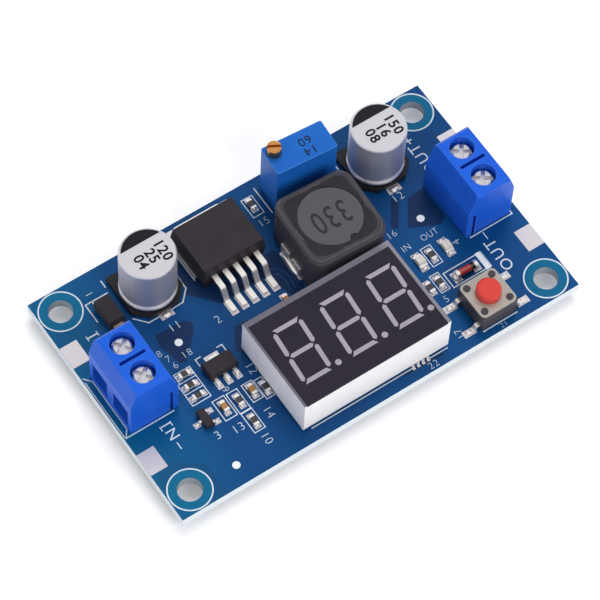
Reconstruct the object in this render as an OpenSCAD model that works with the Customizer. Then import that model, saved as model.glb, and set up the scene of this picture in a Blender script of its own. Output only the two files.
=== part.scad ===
// Buck converter module: a circuit board with screw terminals at both ends, a switching
// regulator, a shielded inductor, two capacitors, a trimmer, a three-digit display and a button.
// The board's underside is z = 0 and the origin is the centre of the four mounting holes.
// +X runs along the board, from the input terminal to the output terminal.

/* [Circuit board] */
// Length of the board along X
board_l = 65; // [64:0.5:72]
// Width of the board along Y
board_w = 38.6; // [38.4:0.2:46]
// Thickness of the laminate
board_t = 1.6; // [1:0.1:2.4]
// Distance of each mounting hole's centre from the two edges beside it
hole_inset = 3.27; // [2.6:0.05:4]
// Diameter of the mounting holes
hole_d = 3.5; // [3:0.1:4]
// Height of the tinned copper pads
pad_t = 0.06; // [0.03:0.01:0.15]
// How far the soldered pins stand out below the board
pin_out = 1.4; // [1:0.1:2.5]
// Height of the solder cones round the pins, below the board
solder_h = 0.9; // [0.4:0.1:1.2]
// Width of the wire pads at the board's short edges, along Y
edge_pad_w = 3.6; // [2.5:0.1:4]
// Length of the wire pads along X
edge_pad_l = 2.7; // [1.5:0.1:3]

/* [Screw terminals] */
// Distance between the two poles of a terminal
pole_pitch = 5.08; // [5:0.01:5.3]
// Height of the housing
terminal_h = 10; // [9.7:0.1:12]
// Depth of the housing at its foot
terminal_d = 7.55; // [7.5:0.05:8.5]
// Thickness of the housing's end walls, beside the clamp chambers
terminal_end_wall = 0.56; // [0.5:0.02:1]
// Height at which the front wall starts to lean back
front_kink_z = 7; // [6:0.1:8]
// How far the front wall leans back at the top
front_lean = 0.98; // [0.4:0.02:1.1]
// Height at which the back wall starts to lean forward
back_kink_z = 6; // [5.5:0.1:8]
// How far the back wall leans forward at the top
back_lean = 1.25; // [0.4:0.05:1.3]
// Bevel along the housing's two top ends
terminal_bevel = 0.45; // [0.2:0.05:0.7]
// Diameter of the screwdriver wells
well_d = 3.5; // [3.3:0.1:3.8]
// Width of the wire entries
entry_w = 3.6; // [2.6:0.1:3.7]
// Height of the wire entries
entry_h = 4.2; // [3:0.1:5]
// Distance of the terminals from the board's short edges
terminal_inset = 1.25; // [0.4:0.05:1.5]
// Place of the terminals along Y
terminal_y = 0.3; // [-0.5:0.1:0.8]

/* [Clamp parts] */
// Diameter of the clamp screw's thread
clamp_screw_d = 2.5; // [2.2:0.1:2.6]
// Diameter of the clamp screw's head
clamp_head_d = 3.1; // [2.9:0.05:3.2]
// Height of the clamp screw's head
clamp_head_h = 1.3; // [1:0.1:1.4]
// Depth of the head below the housing's top
clamp_head_recess = 1; // [0.5:0.1:1.2]
// Width of the driver slot in the head
slot_w = 0.6; // [0.4:0.05:0.8]
// Width of the clamping cage
cage_w = 3.7; // [3.5:0.05:3.9]
// Depth of the clamping cage along the wire
cage_d = 4.2; // [3.6:0.1:4.4]
// Thickness of the cage's bottom bar
cage_bar_t = 0.7; // [0.5:0.05:0.8]
// Height of the window in the cage
cage_window_h = 2.6; // [2.4:0.1:2.8]
// Width of the window in the cage
cage_window_w = 2.3; // [2.2:0.05:2.5]
// Thickness of the cage's threaded top
cage_top_t = 1.1; // [0.8:0.05:1.2]
// Thickness of the contact strip
strip_t = 0.5; // [0.4:0.02:0.6]
// Width of the contact strip
strip_w = 1.9; // [1.5:0.05:2]
// Diameter of the terminal's solder pins
terminal_pin_d = 1; // [0.8:0.05:1.2]

/* [Capacitors] */
// Diameter of the capacitor cans
can_d = 8; // [7.6:0.1:8.6]
// Height of a capacitor above its pads
can_h = 10.1; // [9:0.1:12]
// Thickness of the capacitor's base plate
can_base_t = 0.9; // [0.7:0.1:1.3]
// How far the base plate reaches past the can on each side
can_base_edge = 0.18; // [0.1:0.02:0.3]
// Bevel on the two front corners of the base plate
can_base_bevel = 1.9; // [1.2:0.1:2.2]
// Width of the capacitor's lead tabs
can_tab_w = 0.9; // [0.6:0.1:1.2]
// Centre of the input capacitor
input_can_at = [-17.4, 12.4];
// Centre of the output capacitor
output_can_at = [19.9, 11.75];

/* [Regulator] */
// Width of the regulator's body
regulator_w = 10.1; // [9.6:0.1:10.6]
// Depth of the regulator's body
regulator_d = 8.4; // [8:0.1:9]
// Height of the regulator's body
regulator_h = 4.4; // [4.2:0.1:4.8]
// How far the metal tab stands out behind the body
tab_reach = 1.4; // [0.8:0.1:1.8]
// Thickness of the metal tab
tab_t = 1.27; // [1:0.05:1.5]
// Distance between the regulator's leads
lead_pitch = 1.7; // [1.65:0.05:1.75]
// Width of a regulator lead
lead_w = 0.8; // [0.6:0.05:0.95]
// Thickness of a regulator lead
lead_t = 0.45; // [0.35:0.05:0.55]
// Height at which the leads leave the body
lead_z = 2.35; // [2:0.05:2.6]
// How far the leads reach in front of the body
lead_reach = 5.1; // [4.4:0.1:5.6]
// Place of the middle of the body's front edge
regulator_at = [-6.05, 8.15];

/* [Inductor] */
// Side of the square shield
inductor_w = 12; // [11.6:0.1:12.4]
// Height of the inductor above its pads
inductor_h = 7.8; // [7:0.1:8.6]
// Corner radius of the shield
inductor_corner_r = 2; // [1.2:0.1:2.6]
// Bevel round the top of the shield
inductor_bevel = 0.4; // [0.2:0.05:0.6]
// Diameter of the drum core's flanges
core_d = 9.4; // [8.6:0.1:9.8]
// Width of the ring gap between core and shield
core_gap = 0.45; // [0.3:0.05:0.6]
// Thickness of the drum core's flanges
flange_t = 1.3; // [1:0.1:1.6]
// Diameter of the drum core's waist
waist_d = 5; // [4:0.1:6]
// Width of each soldered terminal
inductor_tab_w = 4.8; // [3.6:0.1:5.6]
// Centre of the inductor
inductor_at = [7.2, 4.75];
// Turn of the inductor on the board, in degrees
inductor_turn = -2.5; // [-4:0.1:4]
// Radius of the pick-up notch in the core's rim
core_notch_r = 0.7; // [0.3:0.1:1]

/* [Trimmer] */
// Length of the trimmer's housing
trimmer_l = 9.5; // [9:0.1:9.8]
// Depth of the trimmer's housing
trimmer_d = 4.7; // [4.5:0.1:5]
// Height of the trimmer's housing
trimmer_h = 10; // [9:0.1:11]
// Diameter of the adjusting screw
adjuster_d = 2.05; // [1.8:0.05:2.4]
// How far the adjusting screw stands out of the housing
adjuster_out = 1.5; // [0.8:0.1:2]
// Distance of the adjusting screw from the housing's left end
adjuster_x = 1.35; // [1.3:0.05:1.6]
// Distance of the adjusting screw from the housing's back
adjuster_y = 1.3; // [1.3:0.05:1.6]
// Distance between the trimmer's pins
trimmer_pitch = 2.54; // [2.5:0.02:2.6]
// Centre of the trimmer
trimmer_at = [9, 15.05];
// Turn of the trimmer on the board, in degrees
trimmer_turn = -4; // [-5:0.1:1]

/* [Display] */
// Length of the display's case
display_l = 23.7; // [23:0.1:24.4]
// Width of the display's case
display_w = 14.95; // [14.4:0.05:15.1]
// Height of the display's case
display_h = 6.55; // [6:0.05:8]
// Gap between the display's case and the board
display_lift = 0.65; // [0.65:0.05:1]
// Thickness of the case's walls
display_wall = 0.9; // [0.6:0.1:1.2]
// Width of the pale rim on the left of the dark face
rim_left = 0.35; // [0.3:0.1:1]
// Width of the pale rim on the right of the dark face
rim_right = 0.5; // [0.3:0.1:1]
// Width of the pale rim behind the dark face
rim_back = 0.85; // [0.4:0.05:1.4]
// Thickness of the dark face
face_t = 0.3; // [0.2:0.05:0.5]
// Height of a digit
digit_h = 9.14; // [8.5:0.02:9.6]
// Width of a digit
digit_w = 4.75; // [4.4:0.05:5]
// Distance between the digits
digit_pitch = 7.53; // [7.4:0.01:7.6]
// Width of a segment
segment_w = 0.65; // [0.6:0.05:1]
// Gap between neighbouring segments
segment_gap = 0.38; // [0.15:0.01:0.5]
// Lean of the digits, in degrees
digit_slant = 4.3; // [0:0.1:8]
// Diameter of the decimal points
point_d = 0.9; // [0.6:0.05:1]
// Distance between the display's two rows of pins
display_row_gap = 10.16; // [10:0.02:10.4]
// Diameter of the display's pins
display_pin_d = 0.5; // [0.4:0.05:0.6]
// Centre of the display
display_at = [-0.05, -9.78];

/* [Button] */
// Side of the button's square base
button_w = 6; // [5.8:0.1:6.2]
// Height of the button's base
button_h = 3.1; // [3:0.1:3.6]
// Thickness of the metal cover
cover_t = 0.25; // [0.2:0.01:0.35]
// Diameter of the red plunger
plunger_d = 3.5; // [3:0.1:3.6]
// How far the plunger stands out of the cover
plunger_out = 1.4; // [0.8:0.1:2.4]
// Travel of the plunger
plunger_travel = 0.25; // [0.15:0.01:0.35]
// Distance of the four rivet heads from the button's axes
rivet_offset = 2.1; // [2.1:0.02:2.2]
// Diameter of the rivet heads
rivet_d = 1; // [0.8:0.05:1]
// Distance between the legs along Y
leg_pitch = 4.5; // [4.2:0.1:4.6]
// Distance from tip to tip of the legs along X
leg_span = 9.6; // [9:0.1:10]
// Centre of the button
button_at = [19.95, -14.9];

/* [Small parts] */
// Length of a small chip resistor or chip capacitor
chip_l = 1.6; // [1.5:0.02:1.7]
// Width of a small chip resistor or chip capacitor
chip_w = 0.8; // [0.7:0.02:0.9]
// Height of a chip resistor
resistor_h = 0.45; // [0.35:0.02:0.6]
// Height of a chip capacitor
capacitor_h = 0.75; // [0.5:0.02:0.9]
// Length of the metal end caps on a chip
chip_end = 0.35; // [0.2:0.02:0.45]
// Length of the power diode's body
diode_l = 4.3; // [4:0.1:4.6]
// Width of the power diode's body
diode_w = 2.6; // [2.4:0.1:2.8]
// Height of the power diode's body
diode_h = 2.1; // [1.9:0.1:2.4]
// Centre of the power diode
diode_at = [-24.05, 11.8];
// Diameter of the glass diode
glass_d = 1.2; // [1:0.05:1.6]
// Length of the glass diode
glass_l = 3.5; // [3.2:0.1:3.8]
// Place of the glass diode along Y
glass_y = -9.15; // [-9.5:0.05:-8.8]
// Length of an indicator lamp
lamp_l = 2; // [1.8:0.05:2.2]
// Width of an indicator lamp
lamp_w = 1.25; // [1:0.05:1.4]
// Height of an indicator lamp
lamp_h = 0.8; // [0.6:0.05:1.1]

/* [Hidden] */
$fn = 48;
// Play between plain parts that drop into each other
fit_gap = 0.05;
// Radial running clearance of turning and sliding parts
run_gap = 0.04;
// Overlap of cutting tools past the faces that they cut
cut = 0.5;
// Angles of an arc's points in one bend
arc_steps = 4;

// Plane on which soldered surface-mount parts stand
seat_z = board_t + pad_t;

// Insides of a terminal, from the front wall and from the board up
terminal_w = 2 * (pole_pitch / 2 + cage_w / 2 + 0.15 + terminal_end_wall);
pole_x = front_lean + (terminal_d - front_lean - back_lean) / 2;
chamber_gap = 0.15;
base_strip_z = fit_gap;
cage_z = base_strip_z + strip_t + fit_gap;
cage_h = cage_bar_t + cage_window_h + cage_top_t;
tongue_top = cage_z + cage_bar_t + cage_window_h - 2 * fit_gap;
clamp_lift = cage_window_h - 2 * fit_gap - strip_t;
head_z = terminal_h - clamp_head_recess - clamp_head_h;
ledge_t = 0.55;
groove_l = 4.05;
groove_w = 0.55;
groove_h = 1.6;
strip_leg_x = pole_x + cage_d / 2 + chamber_gap + strip_t / 2 + 0.1;
dovetail_x = terminal_d - 1.1;

// Wire pads at the board's edges: [side, centre along Y]
edge_pads = [[-1, 9.4], [-1, -9.75], [1, 8.95], [1, -9.55]];

// Strips of board between the display and the terminals: the small parts are spread over their width
terminal_back_x = board_l / 2 - terminal_inset - terminal_d;
left_strip_w = display_at[0] - display_l / 2 + terminal_back_x;
right_strip_w = terminal_back_x - display_at[0] - display_l / 2;
function left_x(f) = -terminal_back_x + f * left_strip_w;
function right_x(f) = terminal_back_x - f * right_strip_w;

// Chip parts on the board: [centre x, centre y, turn]
resistors = [
    [left_x(0.61), -8.65, 90], [left_x(0.61), -12.25, 90], [left_x(0.955), -8.9, 90],
    [left_x(0.27), -1.35, 0], [left_x(0.255), -3.2, 0], [left_x(0.255), -5.05, 0],
    [1.8, 15.8, 90], [right_x(0.47), -4.5, 90], [right_x(0.6), -8.6, 90], [right_x(0.735), -8.6, 90]
];
capacitors = [[left_x(0.42), -8.45, 90], [left_x(0.805), -8.35, 90], [-2.6, 0.5, 90]];
lamps = [[right_x(0.63), -4.5], [right_x(0.257), -4.5]];
glass_at = [right_x(0.26), glass_y];

// Resistor arrays: [centre x, centre y]
array_places = [[7.2, -16.6], [-7.4, -5.8]];
array_l = 3.2;
array_pitch = 0.8;
array_end_w = 0.45;

// Small regulator with a tab: body, leads
small_reg_at = [left_x(0.662), -3.05];
small_reg_w = 4.5;
small_reg_d = 2.5;
small_reg_h = 1.5;
small_reg_pitch = 1.5;

// Small three-lead chip
ref_at = [left_x(0.15), -8.65];
ref_l = 2.9;
ref_w = 1.3;
ref_h = 1.05;
ref_pitch = 1.9;

// Controller under the display
controller_at = [0.2, -10.4];
controller_l = 6.5;
controller_w = 4.4;
controller_h = 1;
controller_pitch = 0.65;
controller_pins = 10;

// Display's inside, from its case's foot
potting_recess = 0.7;
roof_t = 1.5;
digit_shift = [0.15, -0.15];
point_gap = 0.68;
display_pin_pitch = 2.54;

// Button's inside, from the board up
button_floor = 1;
leg_t = 0.25;
leg_w = 0.7;
leg_exit_z = 0.9;
leg_drop = 0.8;
plunger_flange_d = plunger_d + 0.7;
plunger_flange_t = 0.5;

// ---- Shared outlines ----

function unit(v) = v / norm(v);
function left_of(v) = [-v[1], v[0]];
function turned(v, a) = [v[0] * cos(a) - v[1] * sin(a), v[0] * sin(a) + v[1] * cos(a)];

// Points of one side of a bent strip at a corner, side = +1 for left and -1 for right
function bend_side(p0, p1, p2, r, off) =
    let (d1 = unit(p1 - p0))
    let (d2 = unit(p2 - p1))
    let (turn = atan2(d1[0] * d2[1] - d1[1] * d2[0], d1 * d2))
    let (s = sign(turn))
    let (centre = p1 - d1 * r * tan(abs(turn) / 2) + left_of(d1) * s * r)
    [for (i = [0:arc_steps]) centre + turned(-left_of(d1) * s, turn * i / arc_steps) * (r - s * off)];

function strip_side(path, r, off) =
    let (n = len(path))
    let (d0 = unit(path[1] - path[0]))
    let (dn = unit(path[n - 1] - path[n - 2]))
    concat(
        [path[0] + left_of(d0) * off],
        [for (i = [1:n - 2]) each bend_side(path[i - 1], path[i], path[i + 1], r, off)],
        [path[n - 1] + left_of(dn) * off]
    );

function reversed(list) = [for (i = [len(list) - 1:-1:0]) list[i]];

// Outline of a strip of thickness t along a path, with bends of middle radius r
function strip_outline(path, t, r) =
    concat(strip_side(path, r, t / 2), reversed(strip_side(path, r, -t / 2)));

// Rectangle with rounded corners, centred
function round_rect(w, d, r) =
    [for (q = [0:3]) each [for (i = [0:arc_steps + 1])
        let (a = q * 90 + i * 90 / (arc_steps + 1))
        [(q == 0 || q == 3 ? 1 : -1) * (w / 2 - r) + r * cos(a),
         (q < 2 ? 1 : -1) * (d / 2 - r) + r * sin(a)]]];

// Metal strip bent along a path in the local XZ plane, centred on y = 0
module bent_strip(path, t, w, r) {
    rotate([90, 0, 0])
        linear_extrude(height = w, center = true)
            polygon(strip_outline(path, t, r));
}

// Block with its lowest face on z = 0, centred in X and Y
module block(size) {
    translate([-size[0] / 2, -size[1] / 2, 0])
        cube(size);
}

// Block whose walls lean in above and below the mould's parting line
module moulded_block(l, w, z0, z1, split, lean) {
    hull() {
        translate([0, 0, z0])
            block([l - 2 * lean, w - 2 * lean, 0.01]);
        translate([0, 0, split])
            block([l, w, 0.01]);
        translate([0, 0, z1 - 0.01])
            block([l - 2 * lean, w - 2 * lean, 0.01]);
    }
}

// ---- Places ----

module at_terminal(side) {
    translate([side * (board_l / 2 - terminal_inset), terminal_y, board_t])
        mirror([side > 0 ? 1 : 0, 0, 0])
            children();
}

module at_pole(side, pole) {
    at_terminal(side)
        translate([pole_x, pole * pole_pitch / 2, 0])
            children();
}

module at_trimmer() {
    translate([trimmer_at[0], trimmer_at[1], board_t])
        rotate(trimmer_turn)
            children();
}

module at_adjuster() {
    at_trimmer()
        translate([-trimmer_l / 2 + adjuster_x, trimmer_d / 2 - adjuster_y, 0])
            children();
}

module at_display() {
    translate([display_at[0], display_at[1], board_t + display_lift])
        children();
}

module at_seat(place) {
    translate([place[0], place[1], seat_z])
        children();
}

module at_display_pins() {
    for (row = [-1, 1])
        for (i = [0:5])
            translate([
                display_at[0] + (i - 2.5) * display_pin_pitch,
                display_at[1] + row * display_row_gap / 2, 0
            ])
                children();
}

module at_trimmer_pins() {
    translate([trimmer_at[0], trimmer_at[1], 0])
        rotate(trimmer_turn)
            for (i = [-1, 0, 1])
                translate([i * trimmer_pitch, 0, 0])
                    children();
}

module at_terminal_pins() {
    for (side = [-1, 1])
        for (pole = [-1, 1])
            at_pole(side, pole)
                translate([0, 0, -board_t])
                    children();
}

// ---- Circuit board ----

trimmer_pin_d = 0.6;
pin_hole_gap = 0.3;

module pin_hole(d) {
    translate([0, 0, -cut])
        cylinder(d = d + pin_hole_gap, h = board_t + 2 * cut);
}

module circuit_board() {
    color("#114f86")
        difference() {
            translate([-board_l / 2, -board_w / 2, 0])
                cube([board_l, board_w, board_t]);
            for (x = [-1, 1])
                for (y = [-1, 1])
                    translate([x * (board_l / 2 - hole_inset), y * (board_w / 2 - hole_inset), -cut])
                        cylinder(d = hole_d, h = board_t + 2 * cut);
            at_terminal_pins()
                pin_hole(terminal_pin_d);
            at_trimmer_pins()
                pin_hole(trimmer_pin_d);
            at_display_pins()
                pin_hole(display_pin_d);
        }
}

// Pad with its centre at [x, y]
module pad(x, y, l, w) {
    translate([x, y, board_t])
        block([l, w, pad_t]);
}

// Two pads under the ends of a two-ended chip
module chip_pads(place, length, width, reach) {
    translate([place[0], place[1], board_t])
        rotate(place[2])
            for (s = [-1, 1])
                translate([s * (length / 2 - 0.1 + reach / 2 - 0.2), 0, 0])
                    block([reach, width, pad_t]);
}

module board_pads() {
    color("#d8d4cc") {
        for (p = edge_pads)
            pad(p[0] * (board_l / 2 - edge_pad_l / 2 - 0.02), p[1], edge_pad_l, edge_pad_w);
        for (i = [-2:2])
            pad(regulator_at[0] + i * lead_pitch, regulator_at[1] - lead_reach + 0.75, 1.1, 2.4);
        pad(regulator_at[0], regulator_at[1] + regulator_d + tab_reach - 3.6, regulator_w, 8);
        for (place = [input_can_at, output_can_at])
            for (s = [-1, 1])
                pad(place[0], place[1] + s * (can_d / 2 - 0.1), 2.1, 2.6);
        for (s = [-1, 1])
            pad(inductor_at[0] + s * (inductor_w / 2 - 1.1), inductor_at[1], 3.1, inductor_tab_w + 0.3);
        for (s = [-1, 1])
            pad(diode_at[0], diode_at[1] + s * (diode_l / 2 - 0.1), 1.8, 1.9);
        for (s = [-1, 1])
            pad(glass_at[0] + s * (glass_l / 2 - 0.15), glass_at[1], 1.2, 1.7);
        for (p = resistors)
            chip_pads(p, chip_l, chip_w + 0.15, 0.75);
        for (p = capacitors)
            chip_pads(p, chip_l, chip_w + 0.15, 0.75);
        for (p = lamps)
            chip_pads([p[0], p[1], 90], lamp_l, lamp_w, 0.85);
        for (p = array_places)
            for (i = [-1.5:1.5])
                for (s = [-1, 1])
                    pad(p[0] + i * array_pitch, p[1] + s * chip_l / 2, array_end_w, 0.7);
        for (i = [-1:1])
            pad(small_reg_at[0] + i * small_reg_pitch, small_reg_at[1] - small_reg_d / 2 - 0.85, 0.9, 1.4);
        pad(small_reg_at[0], small_reg_at[1] + small_reg_d / 2 + 0.2, 2.2, 2);
        pad(ref_at[0] - 1.25, ref_at[1], 1, 0.8);
        for (s = [-1, 1])
            pad(ref_at[0] + 1.25, ref_at[1] + s * ref_pitch / 2, 1, 0.8);
        for (x = [-1, 1])
            for (y = [-1, 1])
                pad(button_at[0] + x * (leg_span / 2 - 0.35), button_at[1] + y * leg_pitch / 2, 2, 1.1);
        for (i = [0:controller_pins - 1])
            for (s = [-1, 1])
                pad(controller_at[0] + (i - (controller_pins - 1) / 2) * controller_pitch,
                    controller_at[1] + s * (controller_w / 2 + 0.7), 0.35, 1.2);
    }
}

// Solder cone hanging below the board round a pin
module solder_cone(d) {
    rotate_extrude()
        polygon([
            [d / 2 + 0.01, 0], [d / 2 + 0.6, 0], [d / 2 + 0.36, -solder_h * 0.25],
            [d / 2 + 0.2, -solder_h * 0.6], [d / 2 + 0.12, -solder_h], [d / 2 + 0.01, -solder_h]
        ]);
}

module solder_joints() {
    color("#c9c9cc") {
        at_terminal_pins()
            solder_cone(terminal_pin_d);
        at_trimmer_pins()
            solder_cone(trimmer_pin_d);
        at_display_pins()
            solder_cone(display_pin_d);
    }
}

// ---- Screw terminals ----

// Side view of the housing, from its front foot at the origin
function terminal_profile() = [
    [0, 0], [terminal_d, 0], [terminal_d, back_kink_z], [terminal_d - back_lean, terminal_h],
    [front_lean, terminal_h], [0, front_kink_z]
];

// Space inside the housing for one pole's cage, strip and screw
module pole_space() {
    translate([-cage_d / 2 - chamber_gap, -cage_w / 2 - chamber_gap, -cut])
        cube([cage_d + 2 * chamber_gap, cage_w + 2 * chamber_gap, head_z - ledge_t + cut]);
    translate([0, -strip_w / 2 - chamber_gap / 2, -cut])
        cube([strip_leg_x - pole_x + strip_t / 2 + 0.1, strip_w + chamber_gap, tongue_top + 0.6 + cut]);
    cylinder(r = clamp_screw_d / 2 + run_gap, h = terminal_h);
    translate([0, 0, head_z])
        cylinder(d = well_d, h = terminal_h);
    translate([-pole_x - cut, -entry_w / 2, cage_z + 0.2])
        cube([pole_x + cut, entry_w, entry_h]);
}

// Dovetail groove by which terminals are joined in a row
module dovetail_groove() {
    translate([dovetail_x, terminal_w / 2, -cut])
        linear_extrude(height = back_kink_z - 0.4)
            polygon([[-0.25, cut], [0.25, cut], [0.25, 0], [0.45, -0.45], [-0.45, -0.45], [-0.25, 0]]);
}

module terminal_housing() {
    difference() {
        rotate([90, 0, 0])
            linear_extrude(height = terminal_w, center = true)
                polygon(terminal_profile());
        for (s = [-1, 1]) {
            translate([pole_x, s * pole_pitch / 2, 0])
                pole_space();
            mirror([0, s > 0 ? 0 : 1, 0])
                dovetail_groove();
            translate([-cut, s * terminal_w / 2, terminal_h - terminal_bevel])
                rotate([s * 45, 0, 0])
                    translate([0, s > 0 ? 0 : -3, 0])
                        cube([terminal_d + 2 * cut, 3, 3]);
        }
        translate([pole_x - groove_l / 2, -groove_w / 2, terminal_h - groove_h])
            cube([groove_l, groove_w, groove_h + cut]);
    }
}

module in_terminal_housing() {
    color("#2563e0")
        at_terminal(-1)
            terminal_housing();
}

module out_terminal_housing() {
    color("#2563e0")
        at_terminal(1)
            terminal_housing();
}

// Contact: a foot on the board with its solder pin, a leg up the back and a tongue through the cage
module contact(side, pole) {
    tongue_mid = tongue_top - strip_t / 2;
    leg_x = strip_leg_x - pole_x;
    foot_mid = base_strip_z + strip_t / 2;
    color("#c9a75c")
        at_pole(side, pole) {
            bent_strip([
                [-cage_d / 2, tongue_mid], [leg_x, tongue_mid],
                [leg_x, foot_mid], [-cage_d / 2 + 0.3, foot_mid]
            ], strip_t, strip_w, strip_t * 0.75);
            translate([0, 0, -board_t - pin_out])
                cylinder(d = terminal_pin_d, h = board_t + pin_out + base_strip_z + strip_t / 2);
        }
}

module in_plus_contact() contact(-1, 1);
module in_minus_contact() contact(-1, -1);
module out_plus_contact() contact(1, 1);
module out_minus_contact() contact(1, -1);

// Cage that rises round the tongue and lifts the wire against it
module cage(side, pole) {
    color("#b9bbbf")
        at_pole(side, pole)
            translate([0, 0, cage_z])
                difference() {
                    block([cage_d, cage_w, cage_h]);
                    translate([-cage_d / 2 - cut, -cage_window_w / 2, cage_bar_t])
                        cube([cage_d + 2 * cut, cage_window_w, cage_window_h]);
                    translate([0, 0, cage_bar_t + cage_window_h - clamp_lift - fit_gap])
                        cylinder(r = clamp_screw_d / 2 + run_gap, h = cage_top_t + clamp_lift + cut);
                }
}

module in_plus_cage() cage(-1, 1);
module in_minus_cage() cage(-1, -1);
module out_plus_cage() cage(1, 1);
module out_minus_cage() cage(1, -1);

// Clamp screw: held in its well, it turns in place and draws the cage up
module clamp_screw(side, pole) {
    shank_end = tongue_top + fit_gap;
    head_r = clamp_head_d / 2;
    shank_r = clamp_screw_d / 2;
    head_top = head_z + fit_gap + clamp_head_h;
    color("#c4c6ca")
        at_pole(side, pole)
            difference() {
                rotate_extrude()
                    polygon([
                        [0, shank_end], [shank_r - 0.3, shank_end], [shank_r, shank_end + 0.3],
                        [shank_r, head_z + fit_gap], [head_r, head_z + fit_gap],
                        [head_r, head_top - 0.35], [head_r - 0.12, head_top - 0.12],
                        [head_r - 0.4, head_top], [0, head_top]
                    ]);
                for (a = [0, 90])
                    rotate(a + 35)
                        translate([-clamp_head_d / 2, -slot_w / 2, head_top - 0.6])
                            cube([clamp_head_d, slot_w, 1]);
            }
}

module in_plus_screw() clamp_screw(-1, 1);
module in_minus_screw() clamp_screw(-1, -1);
module out_plus_screw() clamp_screw(1, 1);
module out_minus_screw() clamp_screw(1, -1);

// ---- Capacitors ----

can_edge_r = 0.45;
can_roll_r = 0.35;

// Drawn aluminium can: rolled foot, waist where the seal is crimped, straight wall, rounded top
module capacitor_can(place) {
    r = can_d / 2;
    z0 = can_base_t + 0.1;
    foot_r = r + 0.1;
    color("#c9c7d2")
        at_seat(place)
            rotate_extrude($fn = 96)
                polygon(concat(
                    [[0, z0], [foot_r - can_roll_r, z0]],
                    [for (i = [0:6]) [foot_r - can_roll_r + can_roll_r * cos(-90 + i * 30),
                        z0 + can_roll_r + can_roll_r * sin(-90 + i * 30)]],
                    [[r - 0.3, z0 + 2.7 * can_roll_r], [r - 0.3, z0 + 3.3 * can_roll_r]],
                    [[r, z0 + 4.3 * can_roll_r]],
                    [for (i = [0:arc_steps]) [r - can_edge_r + can_edge_r * cos(i * 90 / arc_steps),
                        can_h - can_edge_r + can_edge_r * sin(i * 90 / arc_steps)]],
                    [[0, can_h]]
                ));
}

module input_capacitor_can() capacitor_can(input_can_at);
module output_capacitor_can() capacitor_can(output_can_at);

// Moulded base with two bevelled corners, and a raised bed for the can
module capacitor_base(place) {
    half = can_d / 2 + can_base_edge;
    color("#1b1a1c")
        at_seat(place)
            difference() {
                union() {
                    translate([0, 0, 0.2])
                        linear_extrude(height = can_base_t - 0.2)
                            polygon([
                                [-half, half], [-half, -half + can_base_bevel],
                                [-half + can_base_bevel, -half],
                                [half - can_base_bevel, -half], [half, -half + can_base_bevel], [half, half]
                            ]);
                    cylinder(d = can_d - 1.5, h = can_base_t + 0.1);
                }
                translate([-can_tab_w / 2 - fit_gap, -half - cut, -cut])
                    cube([can_tab_w + 2 * fit_gap, 2 * (half + cut), cut + 0.2 + fit_gap]);
            }
}

module input_capacitor_base() capacitor_base(input_can_at);
module output_capacitor_base() capacitor_base(output_can_at);

module capacitor_leads(place) {
    reach = can_d / 2 + can_base_edge + 0.45;
    color("#d6d2ca")
        at_seat(place)
            for (s = [-1, 1])
                translate([-can_tab_w / 2, s > 0 ? 0.8 : -reach, 0])
                    cube([can_tab_w, reach - 0.8, 0.2]);
}

module input_capacitor_leads() capacitor_leads(input_can_at);
module output_capacitor_leads() capacitor_leads(output_can_at);

// ---- Regulator ----

module at_regulator() {
    at_seat(regulator_at)
        children();
}

module regulator_body() {
    color("#2b2829")
        at_regulator()
            difference() {
                translate([0, regulator_d / 2, 0])
                    moulded_block(regulator_w, regulator_d, 0, regulator_h, lead_z, 0.25);
                translate([-regulator_w / 2 + 0.6, 1.4, -cut])
                    cube([regulator_w - 1.2, regulator_d, tab_t + cut]);
            }
}

module regulator_tab() {
    y1 = regulator_d + tab_reach - 1.4;
    half = regulator_w / 2 - 0.6 - fit_gap;
    neck = half - 0.9;
    color("#b7b3ad")
        at_regulator()
            linear_extrude(height = tab_t - fit_gap)
                translate([0, 1.4 + fit_gap])
                    polygon([
                        [-half, 0], [half, 0], [half, y1 - 0.6], [neck, y1], [-neck, y1], [-half, y1 - 0.6]
                    ]);
}

// Gull-wing leads: out of the body level, down, and along the pad
module regulator_leads() {
    color("#d9d6d0")
        at_regulator()
            for (i = [-2:2])
                translate([i * lead_pitch, 0, 0])
                    rotate(-90)
                        bent_strip([
                            [0, lead_z], [lead_reach * 0.42, lead_z],
                            [lead_reach * 0.62, lead_t / 2], [lead_reach, lead_t / 2]
                        ], lead_t, lead_w, lead_t * 0.9);
}

// ---- Inductor ----

module at_inductor() {
    at_seat(inductor_at)
        rotate(inductor_turn)
            children();
}

tab_metal_t = 0.25;
clip_h = 2.2;
clip_foot = 1.7;
clip_slot = 0.8;
glue_depth = 0.25;
glue_h = 1;
core_notch_turn = -76;

module inductor_shield() {
    inner = inductor_w - 2 * inductor_bevel;
    color("#45434a")
        at_inductor()
            difference() {
                hull() {
                    translate([0, 0, tab_metal_t])
                        linear_extrude(height = inductor_h - tab_metal_t - inductor_bevel)
                            polygon(round_rect(inductor_w, inductor_w, inductor_corner_r));
                    translate([0, 0, inductor_h - 0.01])
                        linear_extrude(height = 0.01)
                            polygon(round_rect(inner, inner, inductor_corner_r - inductor_bevel));
                }
                translate([0, 0, -cut])
                    cylinder(d = core_d + 2 * core_gap, h = inductor_h + 2 * cut, $fn = 96);
            }
}

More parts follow.
